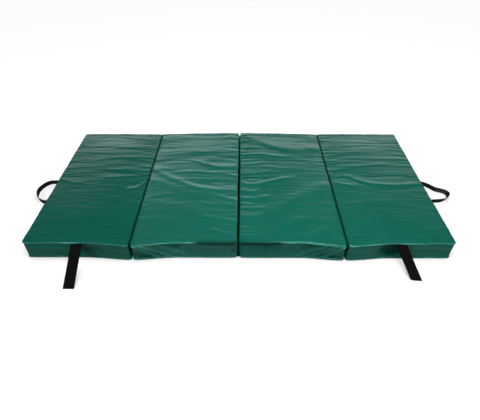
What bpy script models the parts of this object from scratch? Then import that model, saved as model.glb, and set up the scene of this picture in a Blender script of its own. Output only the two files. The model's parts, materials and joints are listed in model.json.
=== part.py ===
"""A folding crash mat, laid out flat.

Four foam panels in coated-fabric covers are joined edge to edge by three fabric
hinges. The outer two hinges lie along the top edges and the middle one lies along
the base, so that the mat folds up like an accordion. A webbing handle is sewn to
each end wall, and a hook strap and a loop strap hang from the front top seam and
hold the folded stack shut. Each cover closes with a zip in its back wall.

The frame has +X along the mat, +Y towards the zipped back wall and +Z up. Its
origin is the bottom centre of the box round the whole mat, handles and straps
included. Metres throughout.
"""
import math

import bmesh
import bpy
from mathutils import Matrix, Vector

# Panels
PANEL_PITCH = 0.500
MAT_WIDTH = 1.000
EDGE_HEIGHT = 0.100
CROWN = 0.006
CROWN_RUN = 0.160
CORNER_RADIUS = 0.012

# Cover fabric and its seams
COVER = 0.0008
SEAM_RIDGE = 0.005
WALL_DRAW = 0.0025

# Folds between the panels
TOP_FOLD_GAP = 0.005
BASE_FOLD_GAP = 0.013
HINGE_WING = 0.024
HINGE_END_MARGIN = 0.010

# Clearances
FIT = 0.0003
FOLD_CLEARANCE = 0.0004

# Webbing handles, standing on edge
WEBBING_WIDTH = 0.025
WEBBING_THICKNESS = 0.0020
HANDLE_SPREAD = 0.190
HANDLE_TAB = 0.050
LEFT_HANDLE_REACH = 0.155
RIGHT_HANDLE_REACH = 0.190

# Each loop as shares of its reach and of half its spread, front end first
ROUND_LOOP_SHARES = [
    (0.00, -1.00), (0.29, -1.07), (0.52, -1.02), (0.76, -0.72), (0.95, -0.30),
    (1.00, 0.02), (0.90, 0.33), (0.68, 0.65), (0.38, 0.88), (0.00, 1.00),
]
POINTED_LOOP_SHARES = [
    (0.00, -1.00), (0.26, -0.90), (0.52, -0.70), (0.77, -0.50), (0.94, -0.37),
    (1.00, -0.22), (0.95, -0.06), (0.79, 0.15), (0.53, 0.42), (0.26, 0.73),
    (0.00, 1.00),
]

# Closing straps
STRAP_WIDTH = 0.050
STRAP_THICKNESS = 0.0015
STRAP_SEWN_DEPTH = 0.025
STRAP_FROM_END = 0.255
LOOP_STRAP_REACH = 0.187
HOOK_STRAP_REACH = 0.131
HOOK_STRAP_SLANT = 0.048
HOOK_LAYER_STEP = 0.0035

# Zips
ZIP_LENGTH = 0.440
ZIP_TAPE_WIDTH = 0.028
ZIP_TEETH_WIDTH = 0.006
ZIP_TEETH_HEIGHT = 0.0012
ZIP_SLOT_HEIGHT = 0.012
ZIP_STOP_LENGTH = 0.004
SLIDER_LENGTH = 0.012
SLIDER_WALL = 0.0012
BRIDGE_HEIGHT = 0.0026
BRIDGE_THICKNESS = 0.0009
BRIDGE_WIDTH = 0.0020
PULL_LENGTH = 0.030
PULL_WIDTH = 0.0066
PULL_THICKNESS = 0.0010

# Number of straight steps in a rounded corner and between two points of a loop
CORNER_STEPS = 4
LOOP_STEPS = 3

# Places worked out from the sizes above
PANEL_COUNT = 4
SEWN_LAYERS = COVER + FIT
CORE_INSET = WALL_DRAW + COVER + FIT
TOP_FOLD_Z = EDGE_HEIGHT + CROWN + FOLD_CLEARANCE
BASE_FOLD_Z = -FOLD_CLEARANCE / 2
STRAP_REACH = FIT + STRAP_THICKNESS / 2 + LOOP_STRAP_REACH
MAT_X = (LEFT_HANDLE_REACH - RIGHT_HANDLE_REACH) / 2
MAT_Y = STRAP_REACH / 2
FRONT = MAT_Y - MAT_WIDTH / 2
BACK = MAT_Y + MAT_WIDTH / 2
LEFT_END = MAT_X - PANEL_COUNT / 2 * PANEL_PITCH
RIGHT_END = MAT_X + PANEL_COUNT / 2 * PANEL_PITCH

# Steps of the crown, as shares of its run inwards from the edge of a panel, and how
# much rounder the corners get for each metre inwards
CROWN_STEPS = [0.0, 0.03, 0.10, 0.24, 0.48, 1.0]
CORNER_GROWTH_SHARE = 0.5


def clear_scene():
    """Removes every object that the file opened with."""
    for thing in list(bpy.data.objects):
        bpy.data.objects.remove(thing, do_unlink=True)


def make_material(name, colour, roughness, metallic=0.0):
    """A plain Principled material."""
    material = bpy.data.materials.new(name)
    material.use_nodes = True
    shader = material.node_tree.nodes["Principled BSDF"]
    shader.inputs["Base Color"].default_value = (*colour, 1.0)
    shader.inputs["Roughness"].default_value = roughness
    shader.inputs["Metallic"].default_value = metallic
    material.diffuse_color = (*colour, 1.0)
    return material


def add_axis(name, place, parent=None):
    """An empty on a joint's axis, which carries the pieces that turn about it."""
    empty = bpy.data.objects.new(name, None)
    empty.empty_display_size = 0.05
    bpy.context.collection.objects.link(empty)
    empty.location = Vector(place)
    if parent:
        empty.parent = parent
        empty.matrix_parent_inverse = Matrix.Translation(-world_place(parent))
    return empty


def world_place(empty):
    """Where an unturned empty stands in the world, its parents' shifts cancelled."""
    return Vector(empty.location)


def add_piece(name, mesh_data, material, carrier=None):
    """Links a finished bmesh as a named object, carried by an empty if one is given."""
    bmesh.ops.recalc_face_normals(mesh_data, faces=mesh_data.faces)
    mesh = bpy.data.meshes.new(name)
    mesh_data.to_mesh(mesh)
    mesh_data.free()
    mesh.materials.append(material)
    piece = bpy.data.objects.new(name, mesh)
    bpy.context.collection.objects.link(piece)
    if carrier:
        piece.parent = carrier
        piece.matrix_parent_inverse = Matrix.Translation(-world_place(carrier))
    return piece


def rounded_outline(x0, x1, y0, y1, radius):
    """Points anticlockwise round a rectangle whose corners are arcs."""
    points = []
    corners = [
        (x1 - radius, y0 + radius, -math.pi / 2),
        (x1 - radius, y1 - radius, 0.0),
        (x0 + radius, y1 - radius, math.pi / 2),
        (x0 + radius, y0 + radius, math.pi),
    ]
    for centre_x, centre_y, start in corners:
        for step in range(CORNER_STEPS + 1):
            turn = start + math.pi / 2 * step / CORNER_STEPS
            points.append((centre_x + radius * math.cos(turn), centre_y + radius * math.sin(turn)))
    return points


def ring_at(outline, z):
    """An outline lifted to a height."""
    return [Vector((x, y, z)) for x, y in outline]


def loft(rings, closed=False):
    """Joins rings of equally many points, and caps the first and last unless closed."""
    solid = bmesh.new()
    rows = [[solid.verts.new(point) for point in ring] for ring in rings]
    pairs = list(zip(rows, rows[1:]))
    if closed:
        pairs.append((rows[-1], rows[0]))
    for low, high in pairs:
        for n in range(len(low)):
            after = (n + 1) % len(low)
            solid.faces.new((low[n], low[after], high[after], high[n]))
    if not closed:
        solid.faces.new(list(reversed(rows[0])))
        solid.faces.new(rows[-1])
    return solid


def box(low, high):
    """A box between two opposite corners."""
    solid = bmesh.new()
    bmesh.ops.create_cube(solid, size=1.0)
    for vertex in solid.verts:
        share = vertex.co + Vector((0.5, 0.5, 0.5))
        vertex.co = [a + (b - a) * s for a, b, s in zip(low, high, share)]
    return solid


def extruded(profile, axis, start, end):
    """A polygon carried along X, Y or Z. The profile gives the other two axes in order."""
    others = [n for n in range(3) if n != axis]
    rings = []
    for place in (start, end):
        ring = []
        for a, b in profile:
            point = [0.0, 0.0, 0.0]
            point[axis] = place
            point[others[0]] = a
            point[others[1]] = b
            ring.append(Vector(point))
        rings.append(ring)
    return loft(rings)


def add_boolean(piece, operation, other_data, label, carrier=None):
    """Cuts a solid from a piece, or fuses one to it, with a hidden helper object."""
    helper = add_piece(label, other_data, piece.data.materials[0], carrier)
    helper.hide_render = True
    helper.display_type = "WIRE"
    modifier = piece.modifiers.new(label, "BOOLEAN")
    modifier.operation = operation
    modifier.solver = "EXACT"
    modifier.object = helper


def panel_edges(number):
    """The left and right edge of a panel, counted from 1 at the left end."""
    left_fold = MAT_X + (number - 1 - PANEL_COUNT / 2) * PANEL_PITCH
    gaps = [0.0, TOP_FOLD_GAP, BASE_FOLD_GAP, TOP_FOLD_GAP, 0.0]
    return left_fold + gaps[number - 1] / 2, left_fold + PANEL_PITCH - gaps[number] / 2


def panel_outline(number, inset, corner_growth=0.0):
    """A panel's plan, drawn in all round, with its corners rounded more if asked."""
    left, right = panel_edges(number)
    radius = CORNER_RADIUS + corner_growth
    return rounded_outline(left + inset, right - inset, FRONT + inset, BACK - inset, radius)


def crown_height(share):
    """How far the filling lifts the cover, at a share of the crown's run from the edge."""
    return CROWN * (1 - (1 - share) ** 3)


def crowned_rings(number, inset, edge_z):
    """Rings from the edge of a panel inwards and up to the flat of its crown."""
    rings = []
    for share in CROWN_STEPS:
        run = share * CROWN_RUN
        outline = panel_outline(number, inset + run, CORNER_GROWTH_SHARE * run)
        rings.append(ring_at(outline, edge_z + crown_height(share)))
    return rings


def make_core(number, material, carrier):
    """The foam block: straight walls, flat base and the crown that fills the cover."""
    base = ring_at(panel_outline(number, CORE_INSET), SEWN_LAYERS)
    rings = [base] + crowned_rings(number, CORE_INSET, EDGE_HEIGHT - SEWN_LAYERS)
    return add_piece(f"foam_core_{number}", loft(rings), material, carrier)


def make_top_skin(number, material, carrier):
    """The top sheet of a cover, crowned by the foam under it."""
    below = crowned_rings(number, 0.0, EDGE_HEIGHT - COVER)
    above = crowned_rings(number, 0.0, EDGE_HEIGHT)
    rings = list(reversed(below)) + above
    return add_piece(f"top_skin_{number}", loft(rings), material, carrier)


def make_base_skin(number, material, carrier):
    """The base sheet of a cover, flat on the floor."""
    outline = panel_outline(number, 0.0)
    rings = [ring_at(outline, 0.0), ring_at(outline, COVER)]
    return add_piece(f"base_skin_{number}", loft(rings), material, carrier)


def make_side_band(number, material, carrier):
    """The four walls: drawn in between the ridges of the top and base seams."""
    levels = [
        (SEWN_LAYERS, 0.0),
        (SEAM_RIDGE, WALL_DRAW),
        (EDGE_HEIGHT - SEAM_RIDGE, WALL_DRAW),
        (EDGE_HEIGHT - SEWN_LAYERS, 0.0),
    ]
    outer = [ring_at(panel_outline(number, inset), z) for z, inset in levels]
    inner = [ring_at(panel_outline(number, inset + COVER), z) for z, inset in levels]
    rings = outer + list(reversed(inner))
    return add_piece(f"side_band_{number}", loft(rings, closed=True), material, carrier)


def make_hinge_leaf(seam, number, material, carrier):
    """Half of a fabric hinge: a wing beside the wall, and a web out to the fold line."""
    fold_x = MAT_X + (seam - PANEL_COUNT / 2) * PANEL_PITCH
    left, right = panel_edges(number)
    edge = right if number == seam else left
    side = 1 if number == seam else -1
    wing = edge + side * FIT
    web_end = fold_x - side * FIT / 2
    if seam == PANEL_COUNT / 2:
        web, web_inner, wing_end = FIT, FIT + COVER, FIT + HINGE_WING
    else:
        web = EDGE_HEIGHT - COVER
        web_inner = web - COVER
        wing_end = web - HINGE_WING
    profile = [
        (wing, wing_end),
        (wing, web),
        (web_end, web),
        (web_end, web_inner),
        (wing + side * COVER, web_inner),
        (wing + side * COVER, wing_end),
    ]
    solid = extruded(profile, 1, FRONT + HINGE_END_MARGIN, BACK - HINGE_END_MARGIN)
    return add_piece(f"hinge_{seam}_leaf_{number}", solid, material, carrier)


def smooth_path(points, steps):
    """A smooth curve through all the points, with each stretch in equal steps."""
    count = len(points)
    path = []
    for n in range(count - 1):
        before = points[max(n - 1, 0)]
        here = points[n]
        there = points[n + 1]
        after = points[min(n + 2, count - 1)]
        for step in range(steps):
            t = step / steps
            path.append(
                0.5 * (2 * here + (there - before) * t
                       + (2 * before - 5 * here + 4 * there - after) * t * t
                       + (3 * here - before - 3 * there + after) * t ** 3)
            )
    path.append(points[-1])
    return path


def ribbon(path, across, width, thickness):
    """A flat band along a path: its width lies along one direction all the way."""
    rings = []
    for n, point in enumerate(path):
        along = path[min(n + 1, len(path) - 1)] - path[max(n - 1, 0)]
        normal = along.cross(across).normalized()
        half_width = across * width / 2
        half_thickness = normal * thickness / 2
        rings.append([
            point - half_width - half_thickness,
            point + half_width - half_thickness,
            point + half_width + half_thickness,
            point - half_width + half_thickness,
        ])
    return loft(rings)


def make_handle(side_name, shape, end_x, outward, reach, material, panel, axis):
    """A webbing loop on edge, and the two ends of it that are sewn to the end wall."""
    low = SEAM_RIDGE + FIT
    middle = low + WEBBING_WIDTH / 2
    root = end_x + outward * FIT
    half_spread = HANDLE_SPREAD / 2 - WEBBING_THICKNESS / 2
    points = [
        Vector((root + outward * (reach - FIT) * out, MAT_Y + half_spread * along, middle))
        for out, along in shape
    ]
    path = smooth_path(points, LOOP_STEPS)
    loop = ribbon(path, Vector((0, 0, 1)), WEBBING_WIDTH, WEBBING_THICKNESS)
    add_piece(f"handle_{side_name}_loop", loop, material, axis)
    wall = end_x - outward * WALL_DRAW
    inner = wall + outward * FIT
    outer = inner + outward * WEBBING_THICKNESS
    for end_name, direction in (("front", -1), ("back", 1)):
        near = MAT_Y + direction * (HANDLE_SPREAD / 2 + FIT)
        far = near + direction * HANDLE_TAB
        low_corner = (min(inner, outer), min(near, far), low)
        high_corner = (max(inner, outer), max(near, far), low + WEBBING_WIDTH)
        tab = box(low_corner, high_corner)
        add_piece(f"handle_{side_name}_{end_name}_tab", tab, material, panel)


def strap_axis(end_x, inward, layer):
    """The line that a closing strap turns about: just outside the front top seam."""
    centre_x = end_x + inward * STRAP_FROM_END
    y = FRONT - FIT - layer - STRAP_THICKNESS / 2
    z = EDGE_HEIGHT - SEWN_LAYERS - STRAP_THICKNESS / 2
    return Vector((centre_x, y, z))


def make_strap(name, number, place, reach, slant, layer, material, panel, axis):
    """A closing strap, and the end of it that is sewn into the seam of its panel."""
    core = bpy.data.objects[f"foam_core_{number}"]
    band = bpy.data.objects[f"side_band_{number}"]
    half = STRAP_WIDTH / 2
    tab_low = place.z - STRAP_THICKNESS / 2
    tab_high = place.z + STRAP_THICKNESS / 2
    tab_outer = place.y - STRAP_THICKNESS / 2
    tab_inner = FRONT + STRAP_SEWN_DEPTH
    tab = box((place.x - half, tab_outer, tab_low), (place.x + half, tab_inner, tab_high))
    add_piece(f"{name}_sewn_end", tab, material, panel)
    pocket_low = (place.x - half - FIT, FRONT - FIT, tab_low - FIT)
    pocket_high = (place.x + half + FIT, tab_inner + FIT, EDGE_HEIGHT + CROWN)
    add_boolean(core, "DIFFERENCE", box(pocket_low, pocket_high), f"cut_core_{name}", panel)
    add_boolean(band, "DIFFERENCE", box(pocket_low, pocket_high), f"cut_band_{name}", panel)
    # The free part starts clear of the sewn end's corners, and its tip is on the floor
    root = STRAP_THICKNESS * math.sqrt(0.5) + FIT
    drop = place.z - STRAP_THICKNESS / 2 - FIT
    start = root / math.hypot(reach, drop)
    path = []
    for share in (start, 1.0):
        path.append(Vector((place.x + slant * share, place.y - reach * share, place.z - drop * share)))
    strap = ribbon(path, Vector((1, 0, 0)), STRAP_WIDTH, STRAP_THICKNESS)
    add_piece(name, strap, material, axis)
    print(name, "turns up by", round(90 + math.degrees(math.atan2(drop, reach)), 2), "degrees")


def make_zip(number, materials, panel, slider_axis, pull_axis):
    """A zip in the back wall: its tapes and teeth, the slider and the pull."""
    band = bpy.data.objects[f"side_band_{number}"]
    left, right = panel_edges(number)
    centre = (left + right) / 2
    wall = BACK - WALL_DRAW
    middle = EDGE_HEIGHT / 2
    tape_y = wall + FIT
    teeth_base = tape_y + COVER
    teeth_top = teeth_base + ZIP_TEETH_HEIGHT
    half_tape = ZIP_TAPE_WIDTH / 2
    half_teeth = ZIP_TEETH_WIDTH / 2
    start = centre - ZIP_LENGTH / 2
    end = centre + ZIP_LENGTH / 2
    slot_inset = ZIP_TAPE_WIDTH / 2 - ZIP_SLOT_HEIGHT / 2
    slot_low = (start + slot_inset, wall - 2 * COVER, middle - ZIP_SLOT_HEIGHT / 2)
    slot_high = (end - slot_inset, wall + COVER, middle + ZIP_SLOT_HEIGHT / 2)
    add_boolean(band, "DIFFERENCE", box(slot_low, slot_high), f"cut_zip_slot_{number}", panel)

    profile = [
        (tape_y, middle - half_tape),
        (teeth_base, middle - half_tape),
        (teeth_base, middle - half_teeth),
        (teeth_top, middle - half_teeth),
        (teeth_top, middle + half_teeth),
        (teeth_base, middle + half_teeth),
        (teeth_base, middle + half_tape),
        (tape_y, middle + half_tape),
    ]
    chain = add_piece(f"zip_chain_{number}", extruded(profile, 0, start, end), materials["tape"], panel)
    stop_half = half_teeth + SLIDER_WALL
    stop_low = teeth_base - COVER / 2
    stop_high = teeth_top + SLIDER_WALL
    for label, place in (("closed", start), ("open", end - ZIP_STOP_LENGTH)):
        stop = box(
            (place, stop_low, middle - stop_half),
            (place + ZIP_STOP_LENGTH, stop_high, middle + stop_half),
        )
        add_boolean(chain, "UNION", stop, f"fuse_{label}_stop_{number}", panel)

    # The slider is a channel over the teeth, and a low bridge that holds the pull
    body_start = start + ZIP_STOP_LENGTH + FIT
    body_end = body_start + SLIDER_LENGTH
    foot = teeth_base + FIT
    roof = teeth_top + FIT
    top = roof + SLIDER_WALL
    gap = half_teeth + FIT
    outer = gap + SLIDER_WALL
    channel = [
        (foot, middle - outer),
        (top, middle - outer),
        (top, middle + outer),
        (foot, middle + outer),
        (foot, middle + gap),
        (roof, middle + gap),
        (roof, middle - gap),
        (foot, middle - gap),
    ]
    body = extruded(channel, 0, body_start, body_end)
    slider = add_piece(f"zip_slider_{number}", body, materials["metal"], slider_axis)
    body_middle = (body_start + body_end) / 2
    bridge_half = SLIDER_LENGTH / 2 - SLIDER_WALL
    post = BRIDGE_THICKNESS
    bridge_top = top + BRIDGE_HEIGHT
    sunk = top - SLIDER_WALL / 2
    staple = [
        (body_middle - bridge_half, sunk),
        (body_middle - bridge_half, bridge_top),
        (body_middle + bridge_half, bridge_top),
        (body_middle + bridge_half, sunk),
        (body_middle + bridge_half - post, sunk),
        (body_middle + bridge_half - post, bridge_top - BRIDGE_THICKNESS),
        (body_middle - bridge_half + post, bridge_top - BRIDGE_THICKNESS),
        (body_middle - bridge_half + post, sunk),
    ]
    bridge = extruded(staple, 2, middle - BRIDGE_WIDTH / 2, middle + BRIDGE_WIDTH / 2)
    add_boolean(slider, "UNION", bridge, f"fuse_bridge_{number}", slider_axis)

    # The pull's inner bar lies under the bridge, and its window clears the bridge's end
    bar = PULL_THICKNESS
    pull_y = top + FIT
    pull_start = body_middle - bar / 2
    window = bridge_half + bar / 2 + BRIDGE_HEIGHT
    pull = add_piece(
        f"zip_pull_{number}",
        box(
            (pull_start, pull_y, middle - PULL_WIDTH / 2),
            (pull_start + PULL_LENGTH, pull_y + PULL_THICKNESS, middle + PULL_WIDTH / 2),
        ),
        materials["metal"],
        pull_axis,
    )
    frame_wall = (PULL_WIDTH - BRIDGE_WIDTH) / 2 - 2 * FIT
    opening = box(
        (pull_start + bar, pull_y - FIT, middle - PULL_WIDTH / 2 + frame_wall),
        (pull_start + window, pull_y + PULL_THICKNESS + FIT, middle + PULL_WIDTH / 2 - frame_wall),
    )
    add_boolean(pull, "DIFFERENCE", opening, f"cut_pull_window_{number}", pull_axis)


def zip_places(number):
    """The middle of a parked slider, and the line that its pull turns about."""
    left, right = panel_edges(number)
    start = (left + right) / 2 - ZIP_LENGTH / 2
    x = start + ZIP_STOP_LENGTH + FIT + SLIDER_LENGTH / 2
    top = BACK - WALL_DRAW + FIT + COVER + ZIP_TEETH_HEIGHT + FIT + SLIDER_WALL
    middle = EDGE_HEIGHT / 2
    return Vector((x, top, middle)), Vector((x, top + FIT + PULL_THICKNESS / 2, middle))


def build():
    """Makes every piece, each body's pieces under the empty on its joint's axis."""
    clear_scene()
    green = make_material("coated_cover", (0.010, 0.120, 0.085), 0.42)
    dark_green = make_material("base_cover", (0.008, 0.075, 0.055), 0.55)
    foam = make_material("foam", (0.62, 0.58, 0.42), 0.95)
    black = make_material("webbing", (0.006, 0.006, 0.007), 0.75)
    loop_tape = make_material("loop_tape", (0.014, 0.013, 0.014), 0.95)
    hook_tape = make_material("hook_tape", (0.004, 0.004, 0.004), 0.60)
    zips = {
        "tape": make_material("zip_tape", (0.008, 0.030, 0.024), 0.80),
        "metal": make_material("zip_metal", (0.45, 0.45, 0.47), 0.35, 1.0),
    }

    fold_1 = add_axis("seam_1_axis", (MAT_X - PANEL_PITCH, MAT_Y, TOP_FOLD_Z))
    fold_2 = add_axis("seam_2_axis", (MAT_X, MAT_Y, BASE_FOLD_Z), fold_1)
    fold_3 = add_axis("seam_3_axis", (MAT_X + PANEL_PITCH, MAT_Y, TOP_FOLD_Z), fold_2)
    panels = [None, fold_1, fold_2, fold_3]

    for number, carrier in enumerate(panels, start=1):
        make_core(number, foam, carrier)
        make_top_skin(number, green, carrier)
        make_base_skin(number, dark_green, carrier)
        make_side_band(number, green, carrier)
        slider_place, pull_place = zip_places(number)
        slider_axis = add_axis(f"zip_slider_{number}_axis", slider_place, carrier)
        pull_axis = add_axis(f"zip_pull_{number}_axis", pull_place, slider_axis)
        make_zip(number, zips, carrier, slider_axis, pull_axis)

    for seam in range(1, PANEL_COUNT):
        for number in (seam, seam + 1):
            make_hinge_leaf(seam, number, green, panels[number - 1])

    handle_z = SEAM_RIDGE + FIT + WEBBING_WIDTH
    ends = [
        ("left", ROUND_LOOP_SHARES, LEFT_END, -1, LEFT_HANDLE_REACH, panels[0]),
        ("right", POINTED_LOOP_SHARES, RIGHT_END, 1, RIGHT_HANDLE_REACH, panels[-1]),
    ]
    for side_name, shape, end_x, outward, reach, carrier in ends:
        place = (end_x + outward * FIT, MAT_Y, handle_z)
        axis = add_axis(f"handle_{side_name}_axis", place, carrier)
        make_handle(side_name, shape, end_x, outward, reach, black, carrier, axis)
        print("handle", side_name, "axis at", [round(v, 6) for v in place])

    straps = [
        ("loop_strap", 1, LEFT_END, 1, LOOP_STRAP_REACH, 0.0, 0.0, loop_tape),
        ("hook_strap", 4, RIGHT_END, -1, HOOK_STRAP_REACH, HOOK_STRAP_SLANT, HOOK_LAYER_STEP, hook_tape),
    ]
    for name, number, end_x, inward, reach, slant, layer, material in straps:
        place = strap_axis(end_x, inward, layer)
        carrier = panels[number - 1]
        axis = add_axis(f"{name}_axis", place, carrier)
        make_strap(name, number, place, reach, slant, layer, material, carrier, axis)
        print(name, "axis at", [round(v, 6) for v in place])

    for number in range(1, PANEL_COUNT + 1):
        slider_place, pull_place = zip_places(number)
        print("zip", number, "pull axis at", [round(v, 6) for v in pull_place])
    print("folds at x", [round(MAT_X + n * PANEL_PITCH, 6) for n in (-1, 0, 1)])
    print("mat centre y", round(MAT_Y, 6), "top fold z", round(TOP_FOLD_Z, 6), "base fold z", BASE_FOLD_Z)
    print("slider travel", round(ZIP_LENGTH - 2 * ZIP_STOP_LENGTH - 2 * FIT - SLIDER_LENGTH, 6))


build()
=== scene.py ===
# %% [markdown]
# # A folding crash mat
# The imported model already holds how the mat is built: four foam panels in coated-fabric
# covers, three fabric hinges, two webbing handles, two closing straps and four zips.
# This file dresses that model. Each step first says what the real piece is, then makes
# it as a numpy surface and gives it a finish. Metres throughout: +X runs along the mat,
# +Y towards the zipped back wall, +Z up.

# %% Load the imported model
import json
import math

import bmesh
import bpy
import numpy as np
from mathutils import Matrix, Vector

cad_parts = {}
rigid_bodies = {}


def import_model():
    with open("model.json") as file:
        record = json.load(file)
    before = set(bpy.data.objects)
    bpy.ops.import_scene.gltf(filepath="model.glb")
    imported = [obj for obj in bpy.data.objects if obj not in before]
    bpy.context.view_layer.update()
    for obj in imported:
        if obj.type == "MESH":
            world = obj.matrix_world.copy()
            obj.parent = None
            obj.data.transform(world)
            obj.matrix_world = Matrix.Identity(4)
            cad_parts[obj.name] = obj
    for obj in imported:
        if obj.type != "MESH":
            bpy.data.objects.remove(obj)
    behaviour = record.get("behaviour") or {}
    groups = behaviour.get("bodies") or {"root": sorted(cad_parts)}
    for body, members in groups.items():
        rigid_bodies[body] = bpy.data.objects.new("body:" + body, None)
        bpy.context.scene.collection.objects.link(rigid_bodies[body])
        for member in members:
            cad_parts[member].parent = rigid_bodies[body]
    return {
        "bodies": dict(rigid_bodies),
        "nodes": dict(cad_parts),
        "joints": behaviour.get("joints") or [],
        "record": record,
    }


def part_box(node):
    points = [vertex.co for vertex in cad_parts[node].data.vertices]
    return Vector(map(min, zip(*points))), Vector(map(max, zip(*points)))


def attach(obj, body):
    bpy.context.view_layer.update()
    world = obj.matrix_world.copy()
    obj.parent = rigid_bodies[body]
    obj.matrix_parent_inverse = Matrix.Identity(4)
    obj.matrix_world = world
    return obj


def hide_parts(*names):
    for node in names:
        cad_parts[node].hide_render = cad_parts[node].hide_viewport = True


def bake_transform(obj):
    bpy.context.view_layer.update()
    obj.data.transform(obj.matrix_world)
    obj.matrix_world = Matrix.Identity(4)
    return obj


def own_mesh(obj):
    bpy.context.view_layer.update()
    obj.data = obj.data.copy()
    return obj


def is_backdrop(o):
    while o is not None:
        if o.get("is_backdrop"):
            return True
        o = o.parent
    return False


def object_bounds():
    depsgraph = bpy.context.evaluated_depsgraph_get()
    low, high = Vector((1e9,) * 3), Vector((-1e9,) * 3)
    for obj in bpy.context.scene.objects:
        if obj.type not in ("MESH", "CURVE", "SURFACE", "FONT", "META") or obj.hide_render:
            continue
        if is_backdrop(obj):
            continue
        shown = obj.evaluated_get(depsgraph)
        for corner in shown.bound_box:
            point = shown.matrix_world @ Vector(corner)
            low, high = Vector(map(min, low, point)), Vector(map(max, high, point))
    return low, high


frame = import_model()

MM = 0.001
cad_low, cad_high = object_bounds()
print("box of the packed model, mm:", [round(v / MM) for v in (*cad_low, *cad_high)])

# %% [markdown]
# The camera is worked out from the photograph. Fifteen points on the mat's outline were
# matched to a plain pinhole view, which gave the lens, the place and the three turns.
# The mat fills the frame from side to side and is seen from chest height.

# %% Camera
PHOTO_WIDTH_PIXELS = 480
FOCAL_LENGTH_PIXELS = 395.0
SENSOR_WIDTH_MM = 36.0
CAMERA_PLACE = Vector((0.0010, -1.6878, 1.3859))
CAMERA_YAW = -0.0077
CAMERA_PITCH = math.radians(40.31)
CAMERA_ROLL = -0.0028


def camera_axes(yaw, pitch, roll):
    """Right, up and back: forward looks down by the pitch, and the roll turns right into up."""
    forward = Vector((
        math.sin(yaw) * math.cos(pitch), math.cos(yaw) * math.cos(pitch), -math.sin(pitch)
    ))
    level = Vector((math.cos(yaw), -math.sin(yaw), 0.0))
    upright = level.cross(forward)
    right = math.cos(roll) * level + math.sin(roll) * upright
    up = math.cos(roll) * upright - math.sin(roll) * level
    return right, up, -forward


def new_object(name, data):
    """An object at the origin that shows some data, put in the scene."""
    thing = bpy.data.objects.new(name, data)
    bpy.context.scene.collection.objects.link(thing)
    return thing


def add_camera():
    """A camera at its measured place, whose lens is the focal length as a share of the frame."""
    data = bpy.data.cameras.new("camera")
    data.sensor_width = SENSOR_WIDTH_MM
    data.lens = FOCAL_LENGTH_PIXELS * SENSOR_WIDTH_MM / PHOTO_WIDTH_PIXELS
    camera = new_object("camera", data)
    turn = Matrix(camera_axes(CAMERA_YAW, CAMERA_PITCH, CAMERA_ROLL)).transposed()
    camera.matrix_world = Matrix.Translation(CAMERA_PLACE) @ turn.to_4x4()
    bpy.context.scene.camera = camera
    print("lens, mm:", round(data.lens, 1))


add_camera()

# %% [markdown]
# Every surface here is a grid of points. These helpers turn grids into meshes, and give
# each mesh a map in real metres, so that weave and grain keep one scale on all pieces.

# %% Grids, meshes and maps


def grid_quads(rows, columns, start=0):
    """Corner numbers of the cells of a grid whose points are numbered row by row."""
    corner = start + np.arange(rows - 1)[:, None] * columns + np.arange(columns - 1)[None, :]
    corner = corner.ravel()
    return np.stack([corner, corner + 1, corner + columns + 1, corner + columns], axis=1)


def rim_loop(rows, columns):
    """Numbers of a grid's border points, anticlockwise from the first point."""
    number = np.arange(rows * columns).reshape(rows, columns)
    return np.concatenate([
        number[0, :], number[1:, -1], number[-1, -2::-1], number[-2:0:-1, 0]
    ])


def loop_quads(lower, upper):
    """Cells between two closed loops of equally many points, facing out if they run
    anticlockwise seen from above."""
    return np.stack([lower, np.roll(lower, -1), np.roll(upper, -1), upper], axis=1)


def add_piece(name, points, quads, corner_map=None, sharp_degrees=None):
    """Makes an object at the origin from points and four-cornered faces. The map holds
    two metres-scaled values for each face corner."""
    mesh = bpy.data.meshes.new(name)
    points = np.ascontiguousarray(points, dtype=np.float32)
    quads = np.ascontiguousarray(quads, dtype=np.int32)
    mesh.vertices.add(len(points))
    mesh.vertices.foreach_set("co", points.ravel())
    mesh.loops.add(quads.size)
    mesh.loops.foreach_set("vertex_index", quads.ravel())
    mesh.polygons.add(len(quads))
    mesh.polygons.foreach_set("loop_start", np.arange(0, quads.size, 4, dtype=np.int32))
    mesh.update(calc_edges=True)
    mesh.shade_smooth()
    if sharp_degrees:
        mesh.set_sharp_from_angle(angle=math.radians(sharp_degrees))
    if corner_map is not None:
        layer = mesh.uv_layers.new(name="metres")
        layer.uv.foreach_set("vector", np.ascontiguousarray(corner_map, dtype=np.float32).ravel())
    return new_object(name, mesh)


def add_values(piece, name, values):
    """Keeps one number for each point of a piece, for its material to read."""
    attribute = piece.data.attributes.new(name, "FLOAT", "POINT")
    attribute.data.foreach_set("value", np.ascontiguousarray(values, dtype=np.float32).ravel())


def unit(vectors):
    """Vectors scaled to length one."""
    return vectors / np.maximum(np.linalg.norm(vectors, axis=-1, keepdims=True), 1e-12)


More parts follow.
